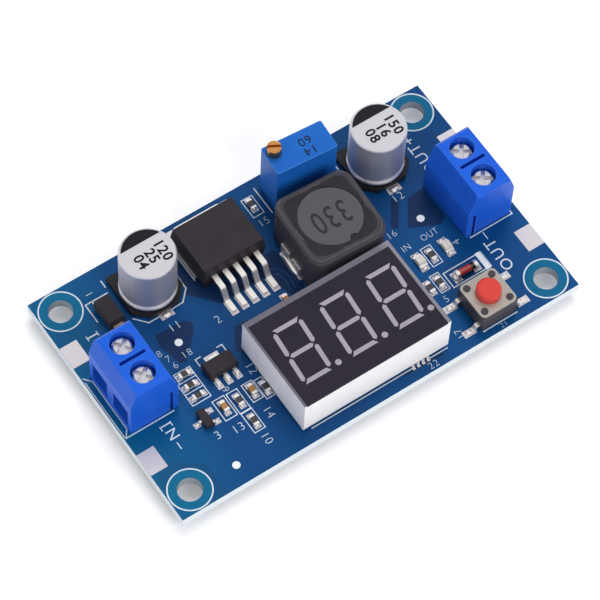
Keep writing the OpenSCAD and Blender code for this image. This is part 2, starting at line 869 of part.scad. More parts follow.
// Drum core: two flanges on a waist, and a half-round notch in the upper rim
module inductor_core() {
    r = core_d / 2;
    z0 = tab_metal_t;
    color("#58555d")
        at_inductor()
            difference() {
                rotate_extrude($fn = 96)
                    polygon([
                        [0, z0], [r, z0], [r, z0 + flange_t], [waist_d / 2, z0 + flange_t],
                        [waist_d / 2, inductor_h - flange_t], [r, inductor_h - flange_t],
                        [r, inductor_h - 0.2], [r - 0.2, inductor_h], [0, inductor_h]
                    ]);
                rotate(core_notch_turn)
                    translate([r, 0, inductor_h - glue_depth])
                        cylinder(r = core_notch_r, h = glue_depth + cut);
            }
}

module inductor_winding() {
    z0 = tab_metal_t + flange_t + fit_gap;
    z1 = inductor_h - flange_t - fit_gap;
    color("#a5562c")
        at_inductor()
            rotate_extrude($fn = 96)
                translate([waist_d / 2 + fit_gap, z0])
                    square([core_d / 2 - waist_d / 2 - 0.3, z1 - z0]);
}

module inductor_glue() {
    color("#2a282c")
        at_inductor()
            translate([0, 0, inductor_h - glue_depth - glue_h])
                difference() {
                    cylinder(d = core_d + 2 * core_gap - 0.02, h = glue_h, $fn = 96);
                    translate([0, 0, -cut])
                        cylinder(d = core_d + 0.02, h = glue_h + 2 * cut, $fn = 96);
                }
}

// Soldered clips: a foot under the core and a flap up each side of the shield
module inductor_terminals() {
    x1 = inductor_w / 2 + tab_metal_t / 2 + 0.02;
    x0 = core_d / 2 - clip_foot;
    color("#cfc8bd")
        at_inductor()
            for (s = [-1, 1])
                mirror([s > 0 ? 0 : 1, 0, 0])
                    difference() {
                        bent_strip([[x0, tab_metal_t / 2], [x1, tab_metal_t / 2], [x1, clip_h]],
                            tab_metal_t, inductor_tab_w, tab_metal_t * 0.6);
                        translate([x1 - cut, -clip_slot / 2, clip_h * 0.45])
                            cube([2 * cut, clip_slot, clip_h]);
                    }
}

// ---- Trimmer ----

seal_t = 0.9;
seal_out = 0.4;
adjuster_depth = 3;
adjuster_bore_r = adjuster_d / 2 + run_gap;
adjuster_neck_r = adjuster_d / 2 - 0.4;
adjuster_slot_turn = -25;

module trimmer_housing() {
    color("#2a80f0")
        difference() {
            at_trimmer() {
                translate([0, 0, 0.4])
                    linear_extrude(height = trimmer_h - 0.4)
                        polygon(round_rect(trimmer_l, trimmer_d, 0.25));
                for (x = [-1, 1])
                    translate([x * (trimmer_l / 2 - 0.6), 0, 0])
                        block([1.2, trimmer_d - 0.5, 0.45]);
            }
            at_adjuster()
                translate([0, 0, trimmer_h - adjuster_depth - 0.1])
                    cylinder(r = adjuster_bore_r, h = adjuster_depth + cut);
        }
}

// Adjusting screw: thread in the housing, neck inside the seal, slotted head above it
module trimmer_screw() {
    r = adjuster_d / 2;
    neck_top = seal_out + run_gap;
    neck_end = neck_top - seal_t - 2 * run_gap;
    color("#d9a25a")
        at_adjuster()
            translate([0, 0, trimmer_h])
                difference() {
                    rotate_extrude()
                        polygon([
                            [0, -adjuster_depth], [r, -adjuster_depth], [r, neck_end],
                            [adjuster_neck_r, neck_end], [adjuster_neck_r, neck_top], [r, neck_top],
                            [r, adjuster_out - 0.2], [r - 0.2, adjuster_out], [0, adjuster_out]
                        ]);
                    rotate(adjuster_slot_turn)
                        translate([-adjuster_d, -0.2, adjuster_out - 0.65])
                            cube([2 * adjuster_d, 0.4, 1]);
                }
}

module trimmer_seal() {
    color("#1d1c20")
        at_adjuster()
            translate([0, 0, trimmer_h + seal_out - seal_t])
                rotate_extrude()
                    polygon([
                        [adjuster_neck_r + run_gap, 0], [adjuster_bore_r - 0.01, 0],
                        [adjuster_bore_r - 0.01, seal_t - 0.15], [adjuster_bore_r - 0.15, seal_t],
                        [adjuster_neck_r + run_gap, seal_t]
                    ]);
}

module trimmer_pins() {
    color("#d2cfc8")
        at_trimmer_pins()
            translate([0, 0, -pin_out])
                cylinder(d = trimmer_pin_d, h = board_t + pin_out + 0.4);
}

// ---- Display ----

// One segment as a mitred bar of length l along X, centred
module segment_bar(l) {
    h = segment_w / 2;
    e = l / 2 - segment_gap / 2;
    polygon([[-e, 0], [-e + h, h], [e - h, h], [e, 0], [e - h, -h], [-e + h, -h]]);
}

// Horizontal segment with slanting ends, its long side outwards
module outer_bar(l) {
    h = segment_w / 2;
    e = l / 2 - segment_gap / 2;
    polygon([[-e - h * 0.6, h], [e + h * 0.6, h], [e - h, -h], [-e + h, -h]]);
}

// Flat outline of one digit with its decimal point, upright
module digit_outline() {
    v = (digit_h - segment_w) / 2;
    u = digit_w - segment_w;
    translate([0, v])
        outer_bar(u);
    translate([0, -v])
        mirror([0, 1])
            outer_bar(u);
    segment_bar(u);
    for (x = [-1, 1])
        for (y = [-1, 1])
            translate([x * u / 2, y * v / 2])
                rotate(90)
                    segment_bar(v);
}

// All digits and points as flat outlines, leaning as on the display
module all_digits() {
    for (i = [-1, 0, 1])
        translate([i * digit_pitch, 0]) {
            multmatrix([[1, tan(digit_slant), 0, 0], [0, 1, 0, 0], [0, 0, 1, 0], [0, 0, 0, 1]])
                digit_outline();
            translate([digit_w / 2 + point_gap, -digit_h / 2 + point_d / 2])
                circle(d = point_d);
        }
}

module face_outline() {
    translate([-display_l / 2 + rim_left, -display_w / 2])
        square([display_l - rim_left - rim_right, display_w - rim_back]);
}

module display_case() {
    color("#e9e6e8")
        at_display()
            difference() {
                block([display_l, display_w, display_h]);
                translate([0, 0, -cut])
                    block([
                        display_l - 2 * display_wall, display_w - 2 * display_wall,
                        display_h - roof_t + cut
                    ]);
                translate([0, 0, display_h - face_t])
                    linear_extrude(height = face_t + cut)
                        face_outline();
            }
}

module display_potting() {
    color("#d9d5cf")
        at_display()
            translate([0, 0, potting_recess])
                block([
                    display_l - 2 * display_wall - 0.02, display_w - 2 * display_wall - 0.02,
                    display_h - roof_t - potting_recess
                ]);
}

module display_face() {
    color("#332e3a")
        at_display()
            translate([0, 0, display_h - face_t])
                linear_extrude(height = face_t)
                    difference() {
                        face_outline();
                        translate(digit_shift)
                            all_digits();
                    }
}

module display_segments() {
    color("#a9a3ae")
        at_display()
            translate([digit_shift[0], digit_shift[1], display_h - face_t])
                linear_extrude(height = face_t)
                    all_digits();
}

module display_pins() {
    color("#d2cfc8")
        at_display_pins()
            translate([0, 0, -pin_out])
                cylinder(d = display_pin_d, h = board_t + pin_out + display_lift + potting_recess);
}

// ---- Button ----

module at_button() {
    at_seat(button_at)
        children();
}

cover_z = button_h;
plunger_flange_z = button_h - fit_gap - plunger_flange_t;
dome_h = plunger_flange_z - plunger_travel - 0.1 - button_floor;

module button_base() {
    color("#1c1b1e")
        at_button()
            difference() {
                union() {
                    translate([0, 0, 0.15])
                        linear_extrude(height = button_h - 0.15)
                            polygon(round_rect(button_w, button_w, 0.3));
                    for (x = [-1, 1])
                        for (y = [-1, 1])
                            translate([x * rivet_offset, y * rivet_offset, button_h - 0.2])
                                cylinder(d = rivet_d, h = 0.2 + cover_t + 0.15);
                }
                translate([0, 0, button_floor])
                    cylinder(d = plunger_flange_d + 2 * run_gap + 0.1, h = button_h);
            }
}

module button_cover() {
    color("#b9b4aa")
        at_button()
            translate([0, 0, cover_z])
                linear_extrude(height = cover_t)
                    difference() {
                        polygon(round_rect(button_w - 0.1, button_w - 0.1, 0.7));
                        circle(d = plunger_d + 2 * run_gap);
                        for (x = [-1, 1])
                            for (y = [-1, 1])
                                translate([x * rivet_offset, y * rivet_offset])
                                    circle(d = rivet_d + 0.02);
                    }
}

module button_plunger() {
    r = plunger_d / 2;
    top = cover_z + cover_t + plunger_out;
    nose_z = plunger_flange_z - plunger_travel - 0.05;
    flange_top = plunger_flange_z + plunger_flange_t;
    color("#e0524a")
        at_button()
            rotate_extrude($fn = 64)
                polygon([
                    [0, nose_z], [0.6, nose_z],
                    [0.8, plunger_flange_z], [plunger_flange_d / 2, plunger_flange_z],
                    [plunger_flange_d / 2, flange_top], [r, flange_top],
                    [r, top - 0.25], [r - 0.25, top], [0, top]
                ]);
}

// Snap dome on the floor of the base, under the plunger
module button_dome() {
    r = plunger_flange_d / 2 - 0.1;
    color("#c2bfb8")
        at_button()
            translate([0, 0, button_floor])
                rotate_extrude()
                    polygon([
                        [0, dome_h - 0.12], [r * 0.5, dome_h - 0.3], [r * 0.85, 0.25], [r, 0],
                        [r, 0.12], [r * 0.88, 0.36], [r * 0.52, dome_h - 0.18], [0, dome_h]
                    ]);
}

module button_legs() {
    t = leg_t;
    color("#d9d5cc")
        at_button()
            for (x = [-1, 1])
                for (y = [-1, 1])
                    translate([0, y * leg_pitch / 2, 0])
                        mirror([x > 0 ? 0 : 1, 0, 0])
                            bent_strip([
                                [button_w / 2, leg_exit_z], [button_w / 2 + leg_drop / 2, leg_exit_z],
                                [button_w / 2 + leg_drop, t / 2], [leg_span / 2, t / 2]
                            ], t, leg_w, t * 0.8);
}

// ---- Diodes and lamps ----

module power_diode_body() {
    color("#2e2828")
        at_seat(diode_at)
            rotate(90)
                moulded_block(diode_l, diode_w, 0.2, diode_h, diode_h * 0.5, 0.15);
}

module power_diode_leads() {
    t = 0.2;
    mid = diode_h * 0.5;
    color("#b08a6a")
        at_seat(diode_at)
            for (s = [0, 180])
                rotate(90 + s)
                    bent_strip([
                        [diode_l / 2, mid], [diode_l / 2 + 0.25, mid],
                        [diode_l / 2 + 0.25, t / 2], [diode_l / 2 - 1, t / 2]
                    ], t, 1.5, t * 0.7);
}

module at_glass_diode() {
    at_seat(glass_at)
        translate([0, 0, glass_d / 2 + 0.05])
            rotate([0, 90, 0])
                children();
}

glass_cap_l = 0.5;

module glass_diode_tube() {
    color("#b8402f", 0.8)
        at_glass_diode()
            cylinder(d = glass_d - 0.1, h = glass_l - 2 * glass_cap_l, center = true);
}

module glass_diode_caps() {
    color("#c9c7c4")
        at_glass_diode()
            for (s = [-1, 1])
                translate([0, 0, s * (glass_l - glass_cap_l) / 2])
                    cylinder(d = glass_d + 0.1, h = glass_cap_l, center = true);
}

module indicator_lamps() {
    color("#f1ede2")
        for (p = lamps)
            at_seat(p)
                rotate(90) {
                    translate([0, 0, 0.05])
                        block([lamp_l - 0.7, lamp_w, lamp_h * 0.5 - 0.05]);
                    translate([0, 0, lamp_h * 0.5])
                        rotate([90, 0, 0])
                            linear_extrude(height = lamp_w - 0.1, center = true)
                                polygon([
                                    [-lamp_l / 2 + 0.35, 0], [lamp_l / 2 - 0.35, 0],
                                    [lamp_l / 2 - 0.45, lamp_h * 0.5], [-lamp_l / 2 + 0.45, lamp_h * 0.5]
                                ]);
                }
}

module indicator_lamp_ends() {
    color("#dcd9d2")
        for (p = lamps)
            at_seat(p)
                rotate(90)
                    for (s = [-1, 1])
                        translate([s * (lamp_l / 2 - 0.175), 0, 0])
                            block([0.35, lamp_w, lamp_h * 0.45]);
}

// ---- Small chips ----

small_lead_t = 0.2;

module small_chip_bodies() {
    color("#2a2627") {
        at_seat(small_reg_at)
            difference() {
                moulded_block(small_reg_w, small_reg_d, 0, small_reg_h, small_reg_h * 0.45, 0.12);
                translate([-0.85, -small_reg_d, -cut])
                    cube([1.7, 2 * small_reg_d, cut + 0.42]);
                for (s = [-1, 1])
                    translate([s * small_reg_pitch - 0.3, -small_reg_d, -cut])
                        cube([0.6, small_reg_d - 0.4, cut + 0.42]);
            }
        at_seat(ref_at)
            rotate(90)
                moulded_block(ref_l, ref_w, 0.1, ref_h, ref_h * 0.5, 0.1);
    }
}

module small_chip_leads() {
    back = small_reg_d / 2 + 0.75;
    front = -small_reg_d / 2 - 0.95;
    color("#d9d5cc") {
        at_seat(small_reg_at) {
            linear_extrude(height = 0.4)
                polygon([
                    [-0.28, front], [0.28, front], [0.28, -0.4], [0.8, 0], [0.8, back - 0.4],
                    [0.5, back], [-0.5, back], [-0.8, back - 0.4], [-0.8, 0], [-0.28, -0.4]
                ]);
            for (s = [-1, 1])
                translate([s * small_reg_pitch - 0.25, front, 0])
                    cube([0.5, -front - small_reg_d / 2 + 0.8, 0.4]);
        }
        at_seat(ref_at) {
            lead_path = [
                [ref_w / 2, ref_h * 0.5], [ref_w / 2 + 0.25, ref_h * 0.5],
                [ref_w / 2 + 0.35, small_lead_t / 2], [1.25, small_lead_t / 2]
            ];
            rotate(180)
                bent_strip(lead_path, small_lead_t, 0.4, 0.15);
            for (s = [-1, 1])
                translate([0, s * ref_pitch / 2, 0])
                    bent_strip(lead_path, small_lead_t, 0.4, 0.15);
        }
    }
}

module controller_body() {
    color("#242124")
        at_seat(controller_at)
            moulded_block(controller_l, controller_w, 0.1, controller_h, controller_h * 0.55, 0.1);
}

module controller_leads() {
    t = 0.15;
    color("#d2cfc8")
        at_seat(controller_at)
            for (s = [-1, 1])
                for (i = [0:controller_pins - 1])
                    translate([(i - (controller_pins - 1) / 2) * controller_pitch, 0, 0])
                        rotate(s * 90)
                            bent_strip([
                                [controller_w / 2, controller_h * 0.55],
                                [controller_w / 2 + 0.3, controller_h * 0.55],
                                [controller_w / 2 + 0.4, t / 2], [controller_w / 2 + 1, t / 2]
                            ], t, 0.25, 0.12);
}

// ---- Chip resistors and capacitors ----

module at_chip(place) {
    at_seat(place)
        rotate(place[2])
            children();
}

module chip_ends(height, length, width) {
    for (s = [-1, 1])
        translate([s * (length - chip_end) / 2, 0, 0])
            block([chip_end, width, height]);
}

module chip_resistor_bodies() {
    color("#3a3432") {
        for (p = resistors)
            at_chip(p)
                translate([0, 0, 0.02])
                    block([chip_l - 2 * chip_end, chip_w, resistor_h]);
        for (p = array_places)
            at_seat(p)
                block([array_l, chip_l - 2 * chip_end, resistor_h]);
    }
}

module chip_resistor_ends() {
    color("#d3cec6") {
        for (p = resistors)
            at_chip(p)
                chip_ends(resistor_h, chip_l, chip_w);
        for (p = array_places)
            at_seat(p)
                for (i = [-1.5:1.5])
                    translate([i * array_pitch, 0, 0])
                        rotate(90)
                            chip_ends(resistor_h, chip_l, array_end_w);
    }
}

module chip_capacitor_bodies() {
    color("#b08a55")
        for (p = capacitors)
            at_chip(p)
                translate([0, 0, 0.02])
                    block([chip_l - 2 * chip_end, chip_w, capacitor_h - 0.04]);
}

module chip_capacitor_ends() {
    color("#d3cec6")
        for (p = capacitors)
            at_chip(p)
                chip_ends(capacitor_h, chip_l, chip_w);
}

circuit_board();
board_pads();
solder_joints();
in_terminal_housing();
out_terminal_housing();
in_plus_contact();
in_minus_contact();
out_plus_contact();
out_minus_contact();
in_plus_cage();
in_minus_cage();
out_plus_cage();
out_minus_cage();
in_plus_screw();
in_minus_screw();
out_plus_screw();
out_minus_screw();
input_capacitor_can();
input_capacitor_base();
input_capacitor_leads();
output_capacitor_can();
output_capacitor_base();
output_capacitor_leads();
regulator_body();
regulator_tab();
regulator_leads();
inductor_shield();
inductor_core();
inductor_winding();
inductor_glue();
inductor_terminals();
trimmer_housing();
trimmer_screw();
trimmer_seal();
trimmer_pins();
display_case();
display_potting();
display_face();
display_segments();
display_pins();
button_base();
button_cover();
button_plunger();
button_dome();
button_legs();
power_diode_body();
power_diode_leads();
glass_diode_tube();
glass_diode_caps();
indicator_lamps();
indicator_lamp_ends();
small_chip_bodies();
small_chip_leads();
controller_body();
controller_leads();
chip_resistor_bodies();
chip_resistor_ends();
chip_capacitor_bodies();
chip_capacitor_ends();
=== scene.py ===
import math

import bpy
from mathutils import Matrix, Vector


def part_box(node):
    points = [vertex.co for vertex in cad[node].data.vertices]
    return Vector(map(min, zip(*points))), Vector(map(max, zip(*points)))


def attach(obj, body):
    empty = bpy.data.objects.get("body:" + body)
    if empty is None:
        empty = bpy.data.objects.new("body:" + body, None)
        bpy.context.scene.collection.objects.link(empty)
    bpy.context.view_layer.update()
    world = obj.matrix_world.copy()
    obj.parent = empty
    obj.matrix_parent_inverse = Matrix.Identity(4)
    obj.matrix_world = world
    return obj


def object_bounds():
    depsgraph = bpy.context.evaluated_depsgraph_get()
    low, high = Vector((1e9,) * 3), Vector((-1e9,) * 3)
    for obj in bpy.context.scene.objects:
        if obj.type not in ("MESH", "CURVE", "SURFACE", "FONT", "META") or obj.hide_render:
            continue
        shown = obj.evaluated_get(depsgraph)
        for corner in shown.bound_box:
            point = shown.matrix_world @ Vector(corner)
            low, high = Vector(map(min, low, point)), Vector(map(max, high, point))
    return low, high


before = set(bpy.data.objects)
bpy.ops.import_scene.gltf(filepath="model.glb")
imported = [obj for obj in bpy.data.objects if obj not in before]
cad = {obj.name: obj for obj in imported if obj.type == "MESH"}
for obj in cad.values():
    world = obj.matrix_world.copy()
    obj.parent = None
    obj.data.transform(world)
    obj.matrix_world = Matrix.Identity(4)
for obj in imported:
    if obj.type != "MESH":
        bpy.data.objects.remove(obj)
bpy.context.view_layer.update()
bpy.ops.object.select_all(action="DESELECT")

# Camera: looks down on the board from the front left corner, over the input terminal,
# with the long side of the board rising to the right. It sees nothing but the board and the floor.
look_at = Vector((-0.00042, 0.00038, 0))
stand = (Matrix.Rotation(math.radians(-37.36), 4, "Z") @ Matrix.Rotation(math.radians(28.86), 4, "X")
         @ Matrix.Rotation(math.radians(3.63), 4, "Z"))
bpy.ops.object.camera_add()
camera = bpy.context.object
camera.name = "view_camera"
camera.matrix_world = Matrix.Translation(look_at) @ stand @ Matrix.Translation((0, 0, 0.4577))
camera.data.lens = 200.26
camera.data.sensor_width = 36
camera.data.clip_start = 0.01
camera.data.clip_end = 10
bpy.context.scene.camera = camera
bpy.context.scene.view_settings.view_transform = "Standard"

# Circuit board: glass-fibre laminate with copper on both sides under a deep blue solder mask.
# It was routed to size, so its edges and the walls of its holes show the pale laminate.
# The mask is a printed epoxy film, glossy, with a faint unevenness over the glass weave.
MM = 0.001
half_length, half_width, ink_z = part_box("circuit_board")[1]


def linear(colour):
    """An sRGB hex colour as the linear colour that a shader takes."""
    parts = [int(colour[i:i + 2], 16) / 255 for i in (1, 3, 5)]
    return [c / 12.92 if c <= 0.04045 else ((c + 0.055) / 1.055) ** 2.4 for c in parts] + [1]


def add(tree, kind, inputs, **settings):
    """Adds a node, or takes the one with that name, and sets or links its inputs."""
    node = tree.nodes.get(kind) or tree.nodes.new(kind)
    for key, value in settings.items():
        setattr(node, key, value)
    for key, value in inputs.items():
        if isinstance(value, bpy.types.NodeSocket):
            tree.links.new(value, node.inputs[key])
        else:
            node.inputs[key].default_value = linear(value) if isinstance(value, str) else value
    return node


def start_material(name):
    """A new material, its node tree, and the place on the piece that its patterns follow."""
    material = bpy.data.materials.new(name)
    material.use_nodes = True
    tree = material.node_tree
    return material, tree, add(tree, "ShaderNodeTexCoord", {}).outputs["Object"]


def finish(material, *names):
    """Gives the CAD nodes of those names their material."""
    for name in names:
        cad[name].data.materials.clear()
        cad[name].data.materials.append(material)


def mask_material(name, light, dark):
    """Glossy epoxy mask in two blues over the weave, with a painted sheen near the left edge; edges show the
    laminate, and hole walls are painted greyer as shade.
    """
    material, tree, place = start_material(name)
    side = add(tree, "ShaderNodeNewGeometry", {}).outputs["Normal"]
    upright = add(tree, "ShaderNodeSeparateXYZ", {"Vector": side}).outputs["Z"]
    flat = add(tree, "ShaderNodeMath", {0: upright}, operation="ABSOLUTE").outputs[0]
    # The mask lies a little darker where it pooled, in patches of about 12 mm
    pools = add(tree, "ShaderNodeTexNoise", {"Vector": place, "Scale": 0.08 / MM}).outputs["Fac"]
    blue = add(tree, "ShaderNodeMix", {0: pools, 6: dark, 7: light}, data_type="RGBA").outputs[2]
    # Painted sheen: towards the left edge the mask is painted paler and greener
    left = add(tree, "ShaderNodeSeparateXYZ", {"Vector": place}).outputs["X"]
    paler_towards_edge = add(tree, "ShaderNodeMapRange", {"Value": left, "From Min": -half_length, "From Max": -20 * MM,
                                               "To Min": 0.5, "To Max": 0}).outputs[0]
    blue = add(tree, "ShaderNodeMix", {0: paler_towards_edge, 6: blue, 7: "#0b6a90"}, data_type="RGBA").outputs[2]
    # Routed outer edges are pale; the drilled walls, farther in than the edges, are painted greyer as painted
    # shade in the holes
    across = add(tree, "ShaderNodeVectorMath", {0: place, 1: (1 / half_length, 1 / half_width, 0)},
                 operation="MULTIPLY").outputs[0]
    size = add(tree, "ShaderNodeVectorMath", {0: across}, operation="ABSOLUTE").outputs[0]
    part = add(tree, "ShaderNodeSeparateXYZ", {"Vector": size}).outputs
    outer = add(tree, "ShaderNodeMath", {0: part["X"], 1: part["Y"]}, operation="MAXIMUM").outputs[0]
    at_edge = add(tree, "ShaderNodeMath", {0: outer, 1: 0.99}, operation="GREATER_THAN").outputs[0]
    wall = add(tree, "ShaderNodeMix", {0: at_edge, 6: "#a0a9b0", 7: "#e0e8ee"}, data_type="RGBA").outputs[2]
    on_face = add(tree, "ShaderNodeMath", {0: flat, 1: 0.5}, operation="GREATER_THAN").outputs[0]
    colour = add(tree, "ShaderNodeMix", {0: on_face, 6: wall, 7: blue}, data_type="RGBA").outputs[2]
    # Glass weave of 0.5 mm threads, felt through the mask
    weave = add(tree, "ShaderNodeTexNoise", {"Vector": place, "Scale": 1.8 / MM, "Detail": 3}).outputs["Fac"]
    rough = add(tree, "ShaderNodeMapRange", {"Value": on_face, "To Min": 0.75, "To Max": 0.3}).outputs[0]
    bump = add(tree, "ShaderNodeBump", {"Height": weave, "Strength": 0.12, "Distance": 0.02 * MM}).outputs[0]
    add(tree, "Principled BSDF", {"Base Color": colour, "Roughness": rough, "Normal": bump, "IOR": 1.5,
                                  "Specular IOR Level": 0.15})
    return material


finish(mask_material("solder_mask_on_fr4", "#0a4f8a", "#07386a"), "circuit_board")

# Mask over bare laminate: where the copper was etched away the board looks navy instead of blue.
# Etched fields lie in the front left corner, beside both terminals and round the regulator's feet.
# Some of these navy fields are painted shadow: by the display's back-left corner, under and between
# the regulator's leads, and along the foot of the display's front wall.
# The hole lands are copper rings under the mask on both faces, a little greener than the rest.
holes = [(x, y) for x in (-29.23, 29.23) for y in (-16.03, 16.03)]
flat_field_thickness, track_thickness, land_thickness = 0.006, 0.015, 0.012


def join_parts(parts, name):
    """Joins the pieces into one object at the origin."""
    bpy.ops.object.select_all(action="DESELECT")
    for part in parts:
        part.select_set(True)
    bpy.context.view_layer.objects.active = parts[0]
    bpy.ops.object.transform_apply(location=True, rotation=True, scale=True)
    if len(parts) > 1:
        bpy.ops.object.join()
    joined = bpy.context.object
    joined.name = name
    joined.data.name = name
    joined.data.materials.clear()
    parts.clear()
    return joined


def thicken(piece, thickness):
    """Gives a flat piece its thickness upwards, in millimetres, and turns its faces outwards."""
    bpy.ops.object.select_all(action="DESELECT")
    piece.select_set(True)
    bpy.context.view_layer.objects.active = piece
    bpy.ops.object.mode_set(mode="EDIT")
    bpy.ops.mesh.select_all(action="SELECT")
    bpy.ops.mesh.extrude_region_move(TRANSFORM_OT_translate={"value": (0, 0, thickness * MM)})
    bpy.ops.mesh.select_all(action="SELECT")
    bpy.ops.mesh.normals_make_consistent(inside=False)
    bpy.ops.object.mode_set(mode="OBJECT")


def field(*corners):
    """A flat field on the board: a disc with as many corners, each dragged to its place."""
    bpy.ops.mesh.primitive_circle_add(vertices=len(corners), radius=MM, fill_type="NGON")
    for vertex, (x, y) in zip(bpy.context.object.data.vertices, corners):
        vertex.co = (x * MM, y * MM, ink_z)
    return bpy.context.object


def band(*points, width):
    """A narrow field from point to point."""
    left, right = [], []
    for i, (x, y) in enumerate(points):
        (x0, y0), (x1, y1) = points[max(i - 1, 0)], points[min(i + 1, len(points) - 1)]
        length = math.hypot(x1 - x0, y1 - y0)
        aside = ((y0 - y1) / length * width / 2, (x1 - x0) / length * width / 2)
        left.append((x + aside[0], y + aside[1]))
        right.append((x - aside[0], y - aside[1]))
    return field(*left, *right[::-1])


etched_and_shadow_parts = [
    field((-20.9, 4.1), (-20.5, 5.9), (-15.9, 5.7), (-15.15, 4.8), (-15.8, 3.5), (-19.1, 0.15), (-20, 0.5)),
    field((18.7, 6.1), (19.5, 5.4), (16.75, 1.5), (15.9, 2.1)),
    field((20.7, 4.9), (23.4, 5.1), (23.4, -0.4), (22.1, -1.1), (20.9, -0.7), (17.9, 0.9)),
    # Painted shadow on the board by the display's back-left corner
    field((-10.8, 1.1), (-8.6, 1.1), (-9.2, -2.25), (-12.2, -2.9), (-12.6, -2)),
    # Etched field left of the regulator, run on as painted shadow under and between its leads
    field((-12.3, 14.5), (-12.8, 11.1), (-13.5, 8.8), (-9.85, 4.8), (-8.6, 5.3), (-1.91, 5.3), (-1.91, 8.2),
          (-10.2, 14.5)),
    field((-1.9, 8.3), (0.4, 8.1), (1.0, 3.2), (0.6, -0.2), (-1.2, 0.2), (-1.9, 2.6)),
    # Painted shadow: a narrow navy band along the foot of the display's front wall
    band((4.1, -17.63), (10.58, -17.86), width=0.3),
]
etched_and_shadow_fields = join_parts(etched_and_shadow_parts, "etched_and_shadow_fields")
thicken(etched_and_shadow_fields, flat_field_thickness)
etched_and_shadow_fields.data.materials.append(mask_material("solder_mask_on_bare_laminate_and_painted_shadow", "#11305b", "#0d274c"))
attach(etched_and_shadow_fields, "board")

# The field in the front left corner is drilled out where the mounting hole and its land are
corner_parts = [field((-32.4, -14.2), (-32.4, -12.7), (-30.5, -11.4), (-28.3, -11.75), (-25.3, -14.1),
                      (-25.2, -19.2), (-28, -19.2), (-29.2, -16.1))]
etched_corner = join_parts(corner_parts, "etched_corner")
thicken(etched_corner, flat_field_thickness)
bpy.ops.mesh.primitive_cylinder_add(vertices=72, radius=2.9 * MM, depth=MM,
                                    location=(holes[0][0] * MM, holes[0][1] * MM, ink_z))
drill = bpy.context.object
drilled = etched_corner.modifiers.new("drilled", "BOOLEAN")
drilled.operation = "DIFFERENCE"
drilled.object = drill
bpy.context.view_layer.objects.active = etched_corner
bpy.ops.object.modifier_apply(modifier=drilled.name)
bpy.data.objects.remove(drill)
etched_corner.data.materials.append(mask_material("solder_mask_pooled_on_laminate", "#133f76", "#0f3564"))
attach(etched_corner, "board")

# Two curved tracks cross the field beside the regulator's feet
track_parts = [
    band((-1.58, 6.01), (-0.64, 5.28), (-0.14, 4.14), (-0.21, 2.74), (-0.39, 1.52), width=0.2),
    band((-1.53, 5.05), (-1.13, 4.56), (-0.92, 3.72), (-0.93, 2.65), (-1.23, 1.72), width=0.2),
]
curved_tracks = join_parts(track_parts, "curved_tracks")
thicken(curved_tracks, track_thickness)
curved_tracks.data.materials.append(mask_material("solder_mask_on_narrow_track", "#164d7d", "#124270"))
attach(curved_tracks, "board")

land_parts = []
for x, y, z in [(x, y, z) for x, y in holes for z in (ink_z, -land_thickness * MM)]:
    bpy.ops.mesh.primitive_circle_add(vertices=72, radius=2.95 * MM, fill_type="NGON",
                                      location=(x * MM, y * MM, z))
    bpy.ops.object.mode_set(mode="EDIT")
    bpy.ops.mesh.select_all(action="SELECT")
    bpy.ops.mesh.inset(thickness=1.15 * MM)
    bpy.ops.mesh.delete(type="FACE")
    bpy.ops.object.mode_set(mode="OBJECT")
    land_parts.append(bpy.context.object)
hole_lands = join_parts(land_parts, "hole_lands")
thicken(hole_lands, land_thickness)
hole_lands.data.materials.append(mask_material("solder_mask_on_copper_land", "#0a668f", "#0a5a80"))
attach(hole_lands, "board")

# White print on the board: epoxy ink screened over the mask, about 0.02 mm thick.
# It outlines each part and rings the mounting holes, and marks the wires' poles and the places.
# Strokes are thin plates; letters and numbers are text made into plates of the same ink.
print_parts = []
letter_parts = []
filled_parts = []
ink_thickness = 0.02


def stroke(x0, y0, x1, y1, width=0.17):
    """A straight line of ink from one point to the other; each lies a hair off the one before it."""
    length = math.hypot(x1 - x0, y1 - y0) + width
    lift = 0.0015 * (1 + len(print_parts) % 9)
    middle = ((x0 + x1) / 2 * MM, (y0 + y1) / 2 * MM, ink_z + lift * MM)
    bpy.ops.mesh.primitive_plane_add(size=MM, location=middle, rotation=(0, 0, math.atan2(y1 - y0, x1 - x0)))
    bpy.context.object.scale = (length, width, 1)
    print_parts.append(bpy.context.object)


def outline(*points, width=0.17):
    """Strokes of ink from point to point."""
    for (x0, y0), (x1, y1) in zip(points, points[1:]):
        stroke(x0, y0, x1, y1, width)


def frame_of_ink(x0, x1, y0, y1, width=0.13):
    """A closed rectangle of ink round a small part."""
    outline((x0, y0), (x1, y0), (x1, y1), (x0, y1), (x0, y0), width=width)


def ring_of_ink(x, y, radius, width):
    """A ring of ink round a hole."""
    bpy.ops.mesh.primitive_circle_add(vertices=96, radius=(radius + width / 2) * MM, fill_type="NGON",
                                      location=(x * MM, y * MM, ink_z))
    bpy.ops.object.mode_set(mode="EDIT")
    bpy.ops.mesh.select_all(action="SELECT")
    bpy.ops.mesh.inset(thickness=width * MM)
    bpy.ops.mesh.delete(type="FACE")
    bpy.ops.object.mode_set(mode="OBJECT")
    print_parts.append(bpy.context.object)


def dot_of_ink(x, y, radius):
    """A filled round dot of ink."""
    bpy.ops.mesh.primitive_circle_add(vertices=32, radius=radius * MM, fill_type="NGON",
                                      location=(x * MM, y * MM, ink_z))
    filled_parts.append(bpy.context.object)


